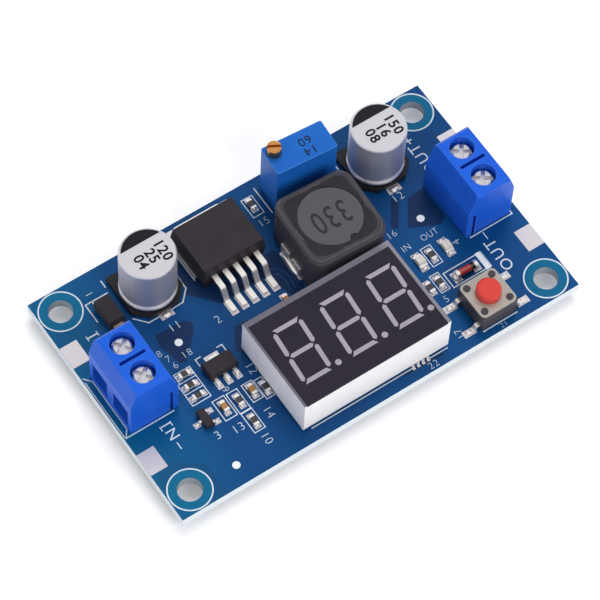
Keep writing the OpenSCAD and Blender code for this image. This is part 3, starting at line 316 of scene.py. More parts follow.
def words(text, x, y, height, turn=0, thin=0.0, into=letter_parts, z=ink_z, thick=ink_thickness,
          spread=1.12, narrow=1):
    """Letters or numbers centred on a point, height in millimetres, made into a mesh."""
    bpy.ops.object.text_add(rotation=(0, 0, math.radians(turn)))
    label = bpy.context.object
    label.data.body = text
    label.data.align_x = "CENTER"
    label.data.align_y = "CENTER"
    # A capital is 0.72 of the type size high
    label.data.size = height * MM / 0.72
    label.data.offset = -thin * MM
    label.data.extrude = thick / 2 * MM
    label.data.resolution_u = 3
    label.data.space_character = spread
    bpy.ops.object.convert(target="MESH")
    label = bpy.context.object
    label.location = (x * MM, y * MM, z + thick / 2 * MM)
    label.scale.x = narrow
    into.append(label)


for x, y in holes:
    ring_of_ink(x, y, 3.05, 0.2)
# Terminals: the outline of each foot, with the wire side and its slanted corners
outline((-32.2, -5.05), (-24.6, -5.05))
outline((-31.36, -3.9), (-31.36, 4.6), (-32.2, 5.6), width=0.14)
outline((-32.2, -5.05), (-31.36, -3.9), width=0.14)
outline((-32.3, 4.9), (-32.3, -4.9), width=0.14)
outline((24.3, -5.1), (31.4, -5.1), (31.4, 5.7), (30.6, 5.7))
# Capacitors: square outlines with two cut corners
outline((-22.1, 17), (-22.1, 15.9))
outline((-21.6, 9.7), (-20.1, 8), (-18.5, 8))
outline((-16.3, 8.05), (-14.5, 8.15), (-12.97, 9.75), (-12.97, 14))
outline((24.15, 9.75), (22.4, 7.9), width=0.14)
outline((15.2, 16.35), (15.2, 14))
# Power diode, regulator and trimmer
outline((-22.4, 15), (-25.9, 15), (-25.9, 11.9))
outline((-11.3, 16.8), (-11.3, 10.15))
outline((-11.4, 18.4), (-0.6, 18.4))
outline((3.6, 17.8), (3.6, 13.2))
frame_of_ink(0.95, 2.7, 13.9, 17.1)
# Three resistors beside the input terminal stand in one ladder of frames
frame_of_ink(-21.75, -19.2, -2.2, -0.6)
frame_of_ink(-22.1, -19.2, -4.0, -2.2)
frame_of_ink(-22.1, -19.2, -5.9, -4.0)
frame_of_ink(-19.65, -17.8, -10.2, -6.8)
frame_of_ink(-17.45, -15.75, -10.35, -6.9)
frame_of_ink(-17.4, -15.7, -13.8, -10.45)
frame_of_ink(-15, -13.4, -9.9, -6.9)
frame_of_ink(-13.2, -11.95, -10.45, -7.2)
outline((-17.2, -0.2), (-18, -0.2), (-18, -1.35))
outline((-14.5, -0.2), (-13.7, -0.2), (-13.7, -1.35))
# Parts beside the display on the output side
frame_of_ink(17.3, 18.9, -6.1, -2.9)
frame_of_ink(15.9, 17.3, -10.1, -7.1)
frame_of_ink(17.8, 24.1, -10.3, -7.7, 0.17)
stroke(23.6, -10.1, 23.6, -7.9, 0.75)
filled_parts.append(print_parts.pop())
outline((17.2, -18.1), (22.8, -18.1))
outline((-11.7, -16.9), (-11.7, -6.2))
outline((-10.6, -17.4), (6, -17.4))
outline((8.6, -17.4), (11.6, -17.4))
for x, y in ((-18.4, 3.25), (20.3, 1.2), (-22.1, -16.4)):
    dot_of_ink(x, y, 0.56)

# Poles of the wires at both ends, and the two lamps' words
words("IN\u2013", -26.75, -8.18, 1.6, -90, 0.0, spread=1.45)
words("IN+", -27.63, 8.45, 1.6, -90, 0.0, spread=1.45)
words("OUT\u2013", 26.1, -8.8, 1.75, 90, 0.01)
words("OUT+", 26.2, 9.6, 1.75, 90, 0.01)
words("IN", 15.9, -1.6, 1.05, 0, 0.03, narrow=0.9)
words("OUT", 19.8, -1.6, 1.05, 0, 0.03, narrow=0.85)
# Bars at both ends of each capital I
for x, y in ((-26.75, -6.45), (-27.63, 10.47)):
    stroke(x - 0.8, y - 0.3, x - 0.8, y + 0.3, 0.16)
    stroke(x + 0.8, y - 0.3, x + 0.8, y + 0.3, 0.16)
# Plain place numbers, in a thin drawn letter, as on any board
for text, x, y, height, turn in (
        ("1", -24.6, 16.2, 1.15, -90), ("2", -12.0, 3.25, 1.3, 0), ("11", -17.5, 5.6, 1.3, 0),
        ("3", -21.7, -11.4, 1.3, 0), ("13", -18.8, -12.0, 1.3, 0), ("10", -16.5, -15.3, 1.25, -90),
        ("14", -14.1, -12.2, 1.25, -90), ("9", -17.1, -6.2, 1.1, -90), ("12", -12.4, -5.4, 1.25, -90),
        ("6", -20.7, 0.55, 1.1, 0), ("7", -21.0, 1.85, 1.1, 0), ("8", -21.6, 3.15, 1.1, 0),
        ("12", 19.6, 5.7, 1.3, 0), ("4", 22.3, -4.6, 1.2, 90), ("5", 15.9, -11.2, 1.1, 0),
        ("21", 20.2, -18.72, 0.8, 0), ("22", 8.6, -18.5, 1.1, 0), ("17", 14.3, -16.6, 1.1, 90),
        ("15", 1.8, 12.6, 1.2, 0), ("16", 15.4, 1.2, 1.1, 0), ("18", -18.4, 1.2, 1.1, 0)):
    words(text, x, y, height, turn, 0.035)

letter_parts.append(join_parts(print_parts, "board_print"))
thicken(letter_parts[-1], ink_thickness)
board_print = join_parts(letter_parts[::-1], "board_print")


def screened_ink(name, thin, full):
    """Matt epoxy ink, thinner in spots of 0.4 mm, where a little blue shows through it."""
    material, tree, place = start_material(name)
    spots = add(tree, "ShaderNodeTexNoise", {"Vector": place, "Scale": 2.5 / MM}).outputs["Fac"]
    colour = add(tree, "ShaderNodeMix", {0: spots, 6: thin, 7: full}, data_type="RGBA").outputs[2]
    add(tree, "Principled BSDF", {"Base Color": colour, "Roughness": 0.6, "IOR": 1.5,
                                  "Specular IOR Level": 0.2})
    return material


board_print.data.materials.append(screened_ink("screened_epoxy_ink", "#bccddb", "#e8eef4"))
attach(board_print, "board")

# Filled dots and the bar at the glass diode hold more ink than a stroke, so they are whiter
filled_print = join_parts(filled_parts, "filled_print")
thicken(filled_print, ink_thickness)
filled_print.data.materials.append(screened_ink("thickly_screened_epoxy_ink", "#e3e8ee", "#f6f7f8"))
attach(filled_print, "board")

# Tinned pads and soldered joints: copper coated with tin from a hot bath, and solder that has
# wetted the pads and drawn up against the ends of the parts in low rounded fillets.
tin, tree, place = start_material("hot_air_levelled_tin")
# The coat dried in soft waves about 1 mm wide, dull where it cooled last
waves = add(tree, "ShaderNodeTexNoise", {"Vector": place, "Scale": 0.9 / MM}).outputs["Fac"]
rough = add(tree, "ShaderNodeMapRange", {"Value": waves, "To Min": 0.3, "To Max": 0.6}).outputs[0]
bump = add(tree, "ShaderNodeBump", {"Height": waves, "Strength": 0.35, "Distance": 0.1 * MM}).outputs[0]
add(tree, "Principled BSDF", {"Base Color": "#dad5da", "Metallic": 0.8, "Roughness": rough, "Normal": bump})
finish(tin, "board_pads", "solder_joints", "trimmer_pins", "display_pins")

solder_parts = []
bpy.ops.mesh.primitive_cube_add(size=MM)
pillow = bpy.context.object
bpy.ops.object.mode_set(mode="EDIT")
bpy.ops.mesh.select_mode(type="FACE")
bpy.ops.mesh.select_all(action="DESELECT")
bpy.ops.object.mode_set(mode="OBJECT")
for face in pillow.data.polygons:
    face.select = face.normal.z > 0.5
bpy.ops.object.mode_set(mode="EDIT")
bpy.ops.transform.resize(value=(0.55, 0.55, 1))
bpy.ops.object.mode_set(mode="OBJECT")
bpy.ops.object.modifier_add(type="SUBSURF")
pillow.modifiers[-1].levels = pillow.modifiers[-1].render_levels = 2
bpy.ops.object.modifier_apply(modifier=pillow.modifiers[-1].name)
bpy.ops.object.shade_smooth()
bpy.ops.object.select_all(action="DESELECT")


def solder(x, y, length, width, height, turn=0):
    """A copy of the pillow, sunk a little in a pad and stretched to make up for its rounding."""
    pillow.select_set(True)
    bpy.context.view_layer.objects.active = pillow
    bpy.ops.object.duplicate()
    lump = bpy.context.object
    lump.location = (x * MM, y * MM, ink_z + (0.04 + height / 4) * MM)
    lump.rotation_euler = (0, 0, math.radians(turn))
    lump.scale = (length * 1.3, width * 1.3, height * 1.5)
    lump.select_set(False)
    solder_parts.append(lump)


def span(node, axis):
    """Middle of a CAD node along an axis, in millimetres."""
    low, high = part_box(node)
    return (low[axis] + high[axis]) / 2 / MM


# Regulator's feet, the capacitors' tabs and the inductor's clips
lead_pitch = 1.7
capacitor_places = [(span(can, 0), span(can, 1)) for can in ("input_capacitor_can", "output_capacitor_can")]
inductor_x, inductor_y = span("inductor_shield", 0), span("inductor_shield", 1)
for i in range(-2, 3):
    solder(span("regulator_leads", 0) + i * lead_pitch, 4.1, 0.95, 2.3, 0.25)
for x, y in capacitor_places:
    solder(x, y - 4.75, 1.6, 1.3, 0.5)
    solder(x, y + 4.75, 1.6, 1.3, 0.5)
for x in (0.95, 13.45):
    solder(x, inductor_y, 1.1, 4.6, 0.7)
for y in (9.25, 14.35):
    solder(-24.05, y, 1.7, 0.9, 0.5)
# Both ends of each small chip, of the lamps and of the glass diode
for x, y, turn in ((-16.5, -8.65, 90), (-16.5, -12.25, 90), (-12.43, -8.9, 90), (-20.51, -1.35, 0),
                   (-20.69, -3.2, 0), (-20.69, -5.05, 0), (1.8, 15.8, 90), (18.11, -4.5, 90),
                   (16.56, -8.6, 90), (14.95, -8.6, 90), (-18.74, -8.45, 90), (-14.2, -8.35, 90)):
    reach = Vector((0.9, 0)) if turn == 0 else Vector((0, 0.9))
    for end in (-1, 1):
        solder(x + end * reach.x, y + end * reach.y, 0.55, 0.8, 0.42, turn)
for x in (16.2, 20.64):
    for y in (-5.7, -3.3):
        solder(x, y, 1.2, 0.7, 0.4)
for x in (18.75, 22.45):
    solder(x, -9.15, 0.8, 1.5, 0.6)
for x in (15.5, 24.4):
    for y in (-17.15, -12.65):
        solder(x, y, 1.5, 0.95, 0.4)
for x, y in ((-17.39, -5.15), (-15.89, -5.15), (-14.39, -5.15)):
    solder(x, y, 0.8, 1.1, 0.4)
solder(-15.89, -1.2, 1.6, 0.9, 0.4)
for x, y in ((-23.2, -8.65), (-20.7, -7.7), (-20.7, -9.6)):
    solder(x, y, 0.9, 0.7, 0.35)
solder_fillets = join_parts(solder_parts, "solder_fillets")
bpy.ops.object.select_all(action="DESELECT")
bpy.data.objects.remove(pillow)
bright_solder, tree, place = start_material("reflowed_solder")
# Reflowed paste: bright, with a grain where flux stayed, drawn at 0.25 mm so that it shows
grain = add(tree, "ShaderNodeTexNoise", {"Vector": place, "Scale": 4 / MM}).outputs["Fac"]
bump = add(tree, "ShaderNodeBump", {"Height": grain, "Strength": 0.2, "Distance": 0.03 * MM}).outputs[0]
add(tree, "Principled BSDF", {"Base Color": "#e9e5e3", "Metallic": 0.85, "Roughness": 0.3, "Normal": bump})
solder_fillets.data.materials.append(bright_solder)
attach(solder_fillets, "board")

# Screw terminals: one moulded polyamide housing each, dropped over its two contacts.
# The moulding is satin, a strong blue, with slightly softened edges and a fine spark-eroded grain.


def painted_edge_highlight(tree, colour, light, radius):
    """Edges rounded to that radius, with a painted highlight that makes the colour lighter on them; returns
    colour and normal.
    """
    rounded = add(tree, "ShaderNodeBevel", {"Radius": radius}, samples=6).outputs[0]
    flat_side = add(tree, "ShaderNodeNewGeometry", {}).outputs["Normal"]
    turned = add(tree, "ShaderNodeVectorMath", {0: rounded, 1: flat_side},
                 operation="DOT_PRODUCT").outputs["Value"]
    wear_and_edge_highlight = add(tree, "ShaderNodeMapRange", {"Value": turned, "From Min": 0.99, "From Max": 0.8}).outputs[0]
    return add(tree, "ShaderNodeMix", {0: wear_and_edge_highlight, 6: colour, 7: light}, data_type="RGBA").outputs[2], rounded


polyamide, tree, place = start_material("moulded_blue_polyamide")
# Grain of the mould, drawn at 0.2 mm so that it shows, and flow marks 3 mm long that change the tone
grain = add(tree, "ShaderNodeTexNoise", {"Vector": place, "Scale": 5 / MM}).outputs["Fac"]
flow = add(tree, "ShaderNodeTexNoise", {"Vector": place, "Scale": 0.3 / MM, "Detail": 1}).outputs["Fac"]
colour = add(tree, "ShaderNodeMix", {0: flow, 6: "#1b57cc", 7: "#2063dc"}, data_type="RGBA").outputs[2]
# Painted highlight: the rounded edges are painted a lighter blue
colour, round_edge = painted_edge_highlight(tree, colour, "#4e82e6", 0.18 * MM)
bump = add(tree, "ShaderNodeBump", {"Height": grain, "Strength": 0.08, "Distance": 0.03 * MM,
                                    "Normal": round_edge}).outputs[0]
add(tree, "Principled BSDF", {"Base Color": colour, "Roughness": 0.34, "IOR": 1.53, "Normal": bump,
                              "Specular IOR Level": 0.15})
finish(polyamide, "in_terminal_housing", "out_terminal_housing")

# Clamp screws and cages: steel, cold headed and pressed, plated with bright zinc.
# The plating is uneven over about 1 mm, so the heads glint in patches.
zinc, tree, place = start_material("zinc_plated_steel")
dents = add(tree, "ShaderNodeTexNoise", {"Vector": place, "Scale": 1.1 / MM, "Detail": 4}).outputs["Fac"]
rough = add(tree, "ShaderNodeMapRange", {"Value": dents, "To Min": 0.18, "To Max": 0.42}).outputs[0]
bump = add(tree, "ShaderNodeBump", {"Height": dents, "Strength": 0.5, "Distance": 0.2 * MM}).outputs[0]
add(tree, "Principled BSDF", {"Base Color": "#cfcdd4", "Metallic": 1, "Roughness": rough, "Normal": bump})
poles = ("in_plus", "in_minus", "out_plus", "out_minus")
finish(zinc, *[pole + "_screw" for pole in poles], *[pole + "_cage" for pole in poles])

# Contacts: stamped brass strip, one to a pole, bent under its clamp and let into the board.
# Rolling left it bright and yellow, with lines drawn 0.3 mm wide so that they show.
brass_strip, tree, place = start_material("rolled_brass_strip")
lines = add(tree, "ShaderNodeTexNoise", {"Vector": place, "Scale": 3 / MM}).outputs["Fac"]
rough = add(tree, "ShaderNodeMapRange", {"Value": lines, "To Min": 0.25, "To Max": 0.4}).outputs[0]
add(tree, "Principled BSDF", {"Base Color": "#d8bb72", "Metallic": 1, "Roughness": rough})
finish(brass_strip, *[pole + "_contact" for pole in poles])

# Capacitors: a drawn aluminium can, crimped over its seal, on a moulded base, with two flat tinned tabs.
# The can is satin from drawing, with fine upright lines, and its top carries a black print.
drawn_aluminium, tree, place = start_material("drawn_aluminium")
# Drawing lines 0.2 mm apart run up the wall, so the pattern is long in Z
long_way = add(tree, "ShaderNodeMapping", {"Vector": place, "Scale": (1, 1, 0.04)}).outputs[0]
lines = add(tree, "ShaderNodeTexNoise", {"Vector": long_way, "Scale": 5 / MM}).outputs["Fac"]
rough = add(tree, "ShaderNodeMapRange", {"Value": lines, "To Min": 0.42, "To Max": 0.58}).outputs[0]
round_edge = add(tree, "ShaderNodeBevel", {"Radius": 0.3 * MM}, samples=6).outputs[0]
bump = add(tree, "ShaderNodeBump", {"Height": lines, "Strength": 0.15, "Distance": 0.03 * MM,
                                    "Normal": round_edge}).outputs[0]
add(tree, "Principled BSDF", {"Base Color": "#d3d1d7", "Metallic": 0.85, "Roughness": rough, "Normal": bump})
finish(drawn_aluminium, "input_capacitor_can", "output_capacitor_can")

# Phenolic moulded with a filler: satin black, its grain drawn at 0.25 mm so that it shows
black_base, tree, place = start_material("black_phenolic_base")
grain = add(tree, "ShaderNodeTexNoise", {"Vector": place, "Scale": 4 / MM}).outputs["Fac"]
bump = add(tree, "ShaderNodeBump", {"Height": grain, "Strength": 0.15, "Distance": 0.03 * MM}).outputs[0]
add(tree, "Principled BSDF", {"Base Color": "#19181b", "Roughness": 0.45, "IOR": 1.55, "Normal": bump,
                              "Specular IOR Level": 0.25})
finish(black_base, "input_capacitor_base", "output_capacitor_base")

# Plated tin: silvery and matt from crystals far under 0.1 mm, drawn at 0.4 mm so that they show
tin_plate, tree, place = start_material("matt_tin_plate")
grain = add(tree, "ShaderNodeTexNoise", {"Vector": place, "Scale": 2.5 / MM, "Detail": 3}).outputs["Fac"]
rough = add(tree, "ShaderNodeMapRange", {"Value": grain, "To Min": 0.3, "To Max": 0.5}).outputs[0]
bump = add(tree, "ShaderNodeBump", {"Height": grain, "Strength": 0.2, "Distance": 0.05 * MM}).outputs[0]
add(tree, "Principled BSDF", {"Base Color": "#f2eeea", "Metallic": 0.9, "Roughness": rough, "Normal": bump})
finish(tin_plate, "input_capacitor_leads", "output_capacitor_leads", "regulator_leads", "inductor_terminals",
       "button_legs", "small_chip_leads", "controller_leads", "glass_diode_caps", "regulator_tab",
       "indicator_lamp_ends", "chip_resistor_ends", "chip_capacitor_ends")

# Ink stamped on the can: near black, a little worn in patches of 0.8 mm
can_ink, tree, place = start_material("black_can_ink")
wear_and_edge_highlight = add(tree, "ShaderNodeTexNoise", {"Vector": place, "Scale": 1.2 / MM}).outputs["Fac"]
colour = add(tree, "ShaderNodeMix", {0: wear_and_edge_highlight, 6: "#0c0a10", 7: "#1a1820"}, data_type="RGBA").outputs[2]
add(tree, "Principled BSDF", {"Base Color": colour, "Roughness": 0.5, "Specular IOR Level": 0.2})
stamp_thickness = 0.015
can_marks = []
for name, (x, y), rows in zip(("input_capacitor_can", "output_capacitor_can"), capacitor_places,
                              (("120", "25", "04"), ("150", "16", "08"))):
    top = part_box(name)[1].z
    # The bar over the negative lead is the disc's edge beyond a chord
    bpy.ops.mesh.primitive_circle_add(vertices=96, radius=3.62 * MM, fill_type="NGON",
                                      location=(x * MM, y * MM, top + 0.005 * MM))
    bpy.ops.object.mode_set(mode="EDIT")
    bpy.ops.mesh.select_all(action="SELECT")
    bpy.ops.mesh.bisect(plane_co=(x * MM, (y + 1.75) * MM, top), plane_no=(0, -1, 0), clear_outer=True)
    bpy.ops.mesh.select_all(action="SELECT")
    bpy.ops.mesh.extrude_region_move(TRANSFORM_OT_translate={"value": (0, 0, stamp_thickness * MM)})
    bpy.ops.object.mode_set(mode="OBJECT")
    can_marks.append(bpy.context.object)
    for row, text in enumerate(rows):
        words(text, x + 1.95 - row * 1.75, y - 0.75, 1.5, -90, -0.05, can_marks, top + 0.003 * MM,
              stamp_thickness)
capacitor_prints = join_parts(can_marks, "capacitor_prints")
capacitor_prints.data.materials.append(can_ink)
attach(capacitor_prints, "board")

# Regulator and the smaller chips: transfer-moulded epoxy filled with silica, satin black-brown.
# The leads are trimmed and formed from one tinned copper strip.
epoxy, tree, place = start_material("moulded_black_epoxy")
# Grain of the mould, about 0.1 mm, drawn at 0.2 mm so that it shows, and clouds of 2.5 mm in the tone
grain = add(tree, "ShaderNodeTexNoise", {"Vector": place, "Scale": 4.5 / MM, "Detail": 3}).outputs["Fac"]
tone = add(tree, "ShaderNodeTexNoise", {"Vector": place, "Scale": 0.4 / MM}).outputs["Fac"]
colour = add(tree, "ShaderNodeMix", {0: tone, 6: "#252126", 7: "#322d32"}, data_type="RGBA").outputs[2]
round_edge = add(tree, "ShaderNodeBevel", {"Radius": 0.12 * MM}, samples=4).outputs[0]
bump = add(tree, "ShaderNodeBump", {"Height": grain, "Strength": 0.25, "Distance": 0.04 * MM,
                                    "Normal": round_edge}).outputs[0]
add(tree, "Principled BSDF", {"Base Color": colour, "Roughness": 0.52, "IOR": 1.55, "Normal": bump,
                              "Specular IOR Level": 0.2})
finish(epoxy, "regulator_body", "power_diode_body", "small_chip_bodies", "controller_body")

# Inductor: a pressed and sintered ferrite shield round a drum core, wound with enamelled copper wire
# and set with dark epoxy; the core's top is ground flat, so it is a little lighter than the shield.
ferrite, tree, place = start_material("sintered_ferrite")
# Pores are drawn at 0.3 mm so that they show; clouds of 4 mm come from uneven sintering
pores = add(tree, "ShaderNodeTexNoise", {"Vector": place, "Scale": 3 / MM, "Detail": 4}).outputs["Fac"]
cloud = add(tree, "ShaderNodeTexNoise", {"Vector": place, "Scale": 0.25 / MM}).outputs["Fac"]
colour = add(tree, "ShaderNodeMix", {0: cloud, 6: "#302e34", 7: "#3c3940"}, data_type="RGBA").outputs[2]
# Painted highlight: the outer edges are painted lighter, about 0.35 mm wide, as the rounded edges catch the
# light
colour, round_edge = painted_edge_highlight(tree, colour, "#7d787d", 0.35 * MM)
bump = add(tree, "ShaderNodeBump", {"Height": pores, "Strength": 0.3, "Distance": 0.06 * MM,
                                    "Normal": round_edge}).outputs[0]
add(tree, "Principled BSDF", {"Base Color": colour, "Roughness": 0.5, "IOR": 1.7, "Normal": bump,
                              "Specular IOR Level": 0.2})
finish(ferrite, "inductor_shield")

# Ground flat: a matt grey, lighter than the shield, its pores drawn at 0.3 mm so that they show
ground_ferrite, tree, place = start_material("ground_ferrite")
pores = add(tree, "ShaderNodeTexNoise", {"Vector": place, "Scale": 3.5 / MM, "Detail": 4}).outputs["Fac"]
colour = add(tree, "ShaderNodeMix", {0: pores, 6: "#4a474e", 7: "#57545b"}, data_type="RGBA").outputs[2]
bump = add(tree, "ShaderNodeBump", {"Height": pores, "Strength": 0.25, "Distance": 0.04 * MM}).outputs[0]
add(tree, "Principled BSDF", {"Base Color": colour, "Roughness": 0.6, "IOR": 1.7, "Normal": bump,
                              "Specular IOR Level": 0.2})
finish(ground_ferrite, "inductor_core")

# Glue that set in the gap: black and glossy, with ripples 1.4 mm wide
glue, tree, place = start_material("cured_epoxy_glue")
ripple = add(tree, "ShaderNodeTexNoise", {"Vector": place, "Scale": 0.7 / MM}).outputs["Fac"]
bump = add(tree, "ShaderNodeBump", {"Height": ripple, "Strength": 0.5, "Distance": 0.1 * MM}).outputs[0]
add(tree, "Principled BSDF", {"Base Color": "#1a181d", "Roughness": 0.4, "Normal": bump,
                              "Specular IOR Level": 0.2})
finish(glue, "inductor_glue")

enamel, tree, place = start_material("enamelled_copper_wire")
# Turns of wire lie in level rings, drawn 1.2 mm apart: glossy and copper brown
turns = add(tree, "ShaderNodeTexWave", {"Vector": place, "Scale": 0.26 / MM}, wave_type="BANDS",
            bands_direction="Z").outputs["Fac"]
bump = add(tree, "ShaderNodeBump", {"Height": turns, "Strength": 0.8, "Distance": 0.2 * MM}).outputs[0]
add(tree, "Principled BSDF", {"Base Color": "#a5562c", "Metallic": 0.8, "Roughness": 0.3, "Normal": bump})
finish(enamel, "inductor_winding")

# A thin dark film over the shield's top: round the core it is painted shade that widens the dark gap,
# and glue where it runs into the corners, with a blob where it filled the notch in the core's rim.
corner_reach, glue_and_shade_thickness = 5.1, 0.02
bpy.ops.mesh.primitive_circle_add(vertices=144, radius=corner_reach * MM, fill_type="NGON")
glue_and_shade_film = bpy.context.object
bpy.ops.object.mode_set(mode="EDIT")
bpy.ops.mesh.select_all(action="SELECT")
bpy.ops.mesh.inset(thickness=0.5 * MM)
bpy.ops.mesh.delete(type="FACE")
bpy.ops.object.mode_set(mode="OBJECT")
for vertex in glue_and_shade_film.data.vertices:
    angle = math.atan2(vertex.co.y, vertex.co.x)
    if vertex.co.length > 4.9 * MM:
        square = (abs(math.cos(angle)) ** 7 + abs(math.sin(angle)) ** 7) ** (-1 / 7)
        reach = corner_reach * square + 0.08 * math.sin(9 * angle)
    else:
        notch = math.exp(-((math.degrees(angle) + 76) / 5) ** 2)
        reach = 4.62 + 0.05 * math.sin(7 * angle) - 0.65 * notch
    vertex.co = (reach * math.cos(angle) * MM, reach * math.sin(angle) * MM, 0)
glue_and_shade_film.rotation_euler = (0, 0, math.radians(-2.5))
core_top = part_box("inductor_core")[1].z
glue_and_shade_film.location = (inductor_x * MM, inductor_y * MM, core_top)
inductor_glue_and_shade_film = join_parts([glue_and_shade_film], "inductor_glue_and_shade_film")
thicken(inductor_glue_and_shade_film, glue_and_shade_thickness)
# The film lies flat and satin, with ripples 1.1 mm wide
film_glue_and_shade, tree, place = start_material("spread_epoxy_glue_and_painted_shade")
ripple = add(tree, "ShaderNodeTexNoise", {"Vector": place, "Scale": 0.9 / MM}).outputs["Fac"]
colour = add(tree, "ShaderNodeMix", {0: ripple, 6: "#201e24", 7: "#2c2a30"}, data_type="RGBA").outputs[2]
bump = add(tree, "ShaderNodeBump", {"Height": ripple, "Strength": 0.4, "Distance": 0.06 * MM}).outputs[0]
add(tree, "Principled BSDF", {"Base Color": colour, "Roughness": 0.5, "Normal": bump,
                              "Specular IOR Level": 0.2})
inductor_glue_and_shade_film.data.materials.append(film_glue_and_shade)
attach(inductor_glue_and_shade_film, "board")

inductor_marks = []
words("330", inductor_x, inductor_y, 3.7, 177.5, -0.02, inductor_marks, core_top, stamp_thickness,
      narrow=0.68)
inductor_print = join_parts(inductor_marks, "inductor_print")
# Stamped number: grey ink, hardly darker than the ferrite and worn in spots of 0.7 mm
faint_ink, tree, place = start_material("grey_ferrite_ink")
wear_and_edge_highlight = add(tree, "ShaderNodeTexNoise", {"Vector": place, "Scale": 1.5 / MM}).outputs["Fac"]
colour = add(tree, "ShaderNodeMix", {0: wear_and_edge_highlight, 6: "#29262c", 7: "#38353b"}, data_type="RGBA").outputs[2]
add(tree, "Principled BSDF", {"Base Color": colour, "Roughness": 0.6, "Specular IOR Level": 0.15})
inductor_print.data.materials.append(faint_ink)
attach(inductor_print, "board")

# Trimmer: a sealed multi-turn resistor in a glass-filled polyester housing, azure and satin,
# with a turned brass adjusting screw in a rubber seal at one corner.
polyester, tree, place = start_material("moulded_azure_polyester")
# Grain of the mould, drawn at 0.25 mm so that it shows, and clouds of 4 mm from the glass filler
grain = add(tree, "ShaderNodeTexNoise", {"Vector": place, "Scale": 4 / MM}).outputs["Fac"]
tone = add(tree, "ShaderNodeTexNoise", {"Vector": place, "Scale": 0.25 / MM}).outputs["Fac"]
colour = add(tree, "ShaderNodeMix", {0: tone, 6: "#175cb2", 7: "#1d68c4"}, data_type="RGBA").outputs[2]
# Painted highlight: the rounded edges are painted a lighter blue
colour, round_edge = painted_edge_highlight(tree, colour, "#5a9be8", 0.18 * MM)
bump = add(tree, "ShaderNodeBump", {"Height": grain, "Strength": 0.12, "Distance": 0.03 * MM,
                                    "Normal": round_edge}).outputs[0]
add(tree, "Principled BSDF", {"Base Color": colour, "Roughness": 0.45, "IOR": 1.5, "Normal": bump,
                              "Specular IOR Level": 0.25})
finish(polyester, "trimmer_housing")

# Turned on a lathe: bright and warm, with tool marks drawn at 0.3 mm so that they glint
turned_brass, tree, place = start_material("turned_brass")
marks = add(tree, "ShaderNodeTexNoise", {"Vector": place, "Scale": 3.5 / MM}).outputs["Fac"]
rough = add(tree, "ShaderNodeMapRange", {"Value": marks, "To Min": 0.22, "To Max": 0.38}).outputs[0]
bump = add(tree, "ShaderNodeBump", {"Height": marks, "Strength": 0.2, "Distance": 0.04 * MM}).outputs[0]
add(tree, "Principled BSDF", {"Base Color": "#c98f52", "Metallic": 1, "Roughness": rough, "Normal": bump})
finish(turned_brass, "trimmer_screw")

# Pressed rubber: dull black, its grain drawn at 0.2 mm so that it shows
rubber, tree, place = start_material("black_nitrile_rubber")
grain = add(tree, "ShaderNodeTexNoise", {"Vector": place, "Scale": 5 / MM}).outputs["Fac"]
bump = add(tree, "ShaderNodeBump", {"Height": grain, "Strength": 0.3, "Distance": 0.03 * MM}).outputs[0]
add(tree, "Principled BSDF", {"Base Color": "#17161a", "Roughness": 0.7, "Normal": bump})
finish(rubber, "trimmer_seal")

trimmer_marks = []
trimmer_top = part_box("trimmer_housing")[1].z
words("60", 10.2, 15.55, 1.35, 176, 0.0, trimmer_marks, trimmer_top, stamp_thickness)
words("14", 10.1, 13.85, 1.35, 176, 0.0, trimmer_marks, trimmer_top, stamp_thickness)
trimmer_print = join_parts(trimmer_marks, "trimmer_print")
trimmer_print.data.materials.append(can_ink)
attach(trimmer_print, "board")

# Display: a white moulded case with three digits, cast full of resin from below.
# The film on its face is charcoal, and grey along the rim, where it is printed thinner.
# The unlit segments show as pale milky bars, flush with it.
white_case, tree, place = start_material("moulded_white_polycarbonate")
# Satin white, with the mould's grain drawn at 0.2 mm so that it shows, and clouds of 5 mm in the tone
grain = add(tree, "ShaderNodeTexNoise", {"Vector": place, "Scale": 4.5 / MM}).outputs["Fac"]
tone = add(tree, "ShaderNodeTexNoise", {"Vector": place, "Scale": 0.2 / MM, "Detail": 1}).outputs["Fac"]
white = add(tree, "ShaderNodeMix", {0: tone, 6: "#ebe9eb", 7: "#f5f3f4"}, data_type="RGBA").outputs[2]
side = add(tree, "ShaderNodeNewGeometry", {}).outputs["Normal"]
up = add(tree, "ShaderNodeSeparateXYZ", {"Vector": side}).outputs["Z"]
on_rim = add(tree, "ShaderNodeMath", {0: up, 1: 0.5}, operation="GREATER_THAN").outputs[0]
# Past 10 to 12 mm along X, towards the right end, the rim's grey turns lighter
along = add(tree, "ShaderNodeSeparateXYZ", {"Vector": place}).outputs["X"]
paler_towards_edge = add(tree, "ShaderNodeMapRange", {"Value": along, "From Min": 10 * MM,
                                           "From Max": 12 * MM}).outputs[0]
grey = add(tree, "ShaderNodeMix", {0: paler_towards_edge, 6: "#5a5865", 7: "#86828d"}, data_type="RGBA").outputs[2]
colour = add(tree, "ShaderNodeMix", {0: on_rim, 6: white, 7: grey}, data_type="RGBA").outputs[2]
round_edge = add(tree, "ShaderNodeBevel", {"Radius": 0.1 * MM}, samples=4).outputs[0]
bump = add(tree, "ShaderNodeBump", {"Height": grain, "Strength": 0.1, "Distance": 0.03 * MM,
                                    "Normal": round_edge}).outputs[0]
add(tree, "Principled BSDF", {"Base Color": colour, "Roughness": 0.42, "IOR": 1.58, "Normal": bump})
finish(white_case, "display_case")

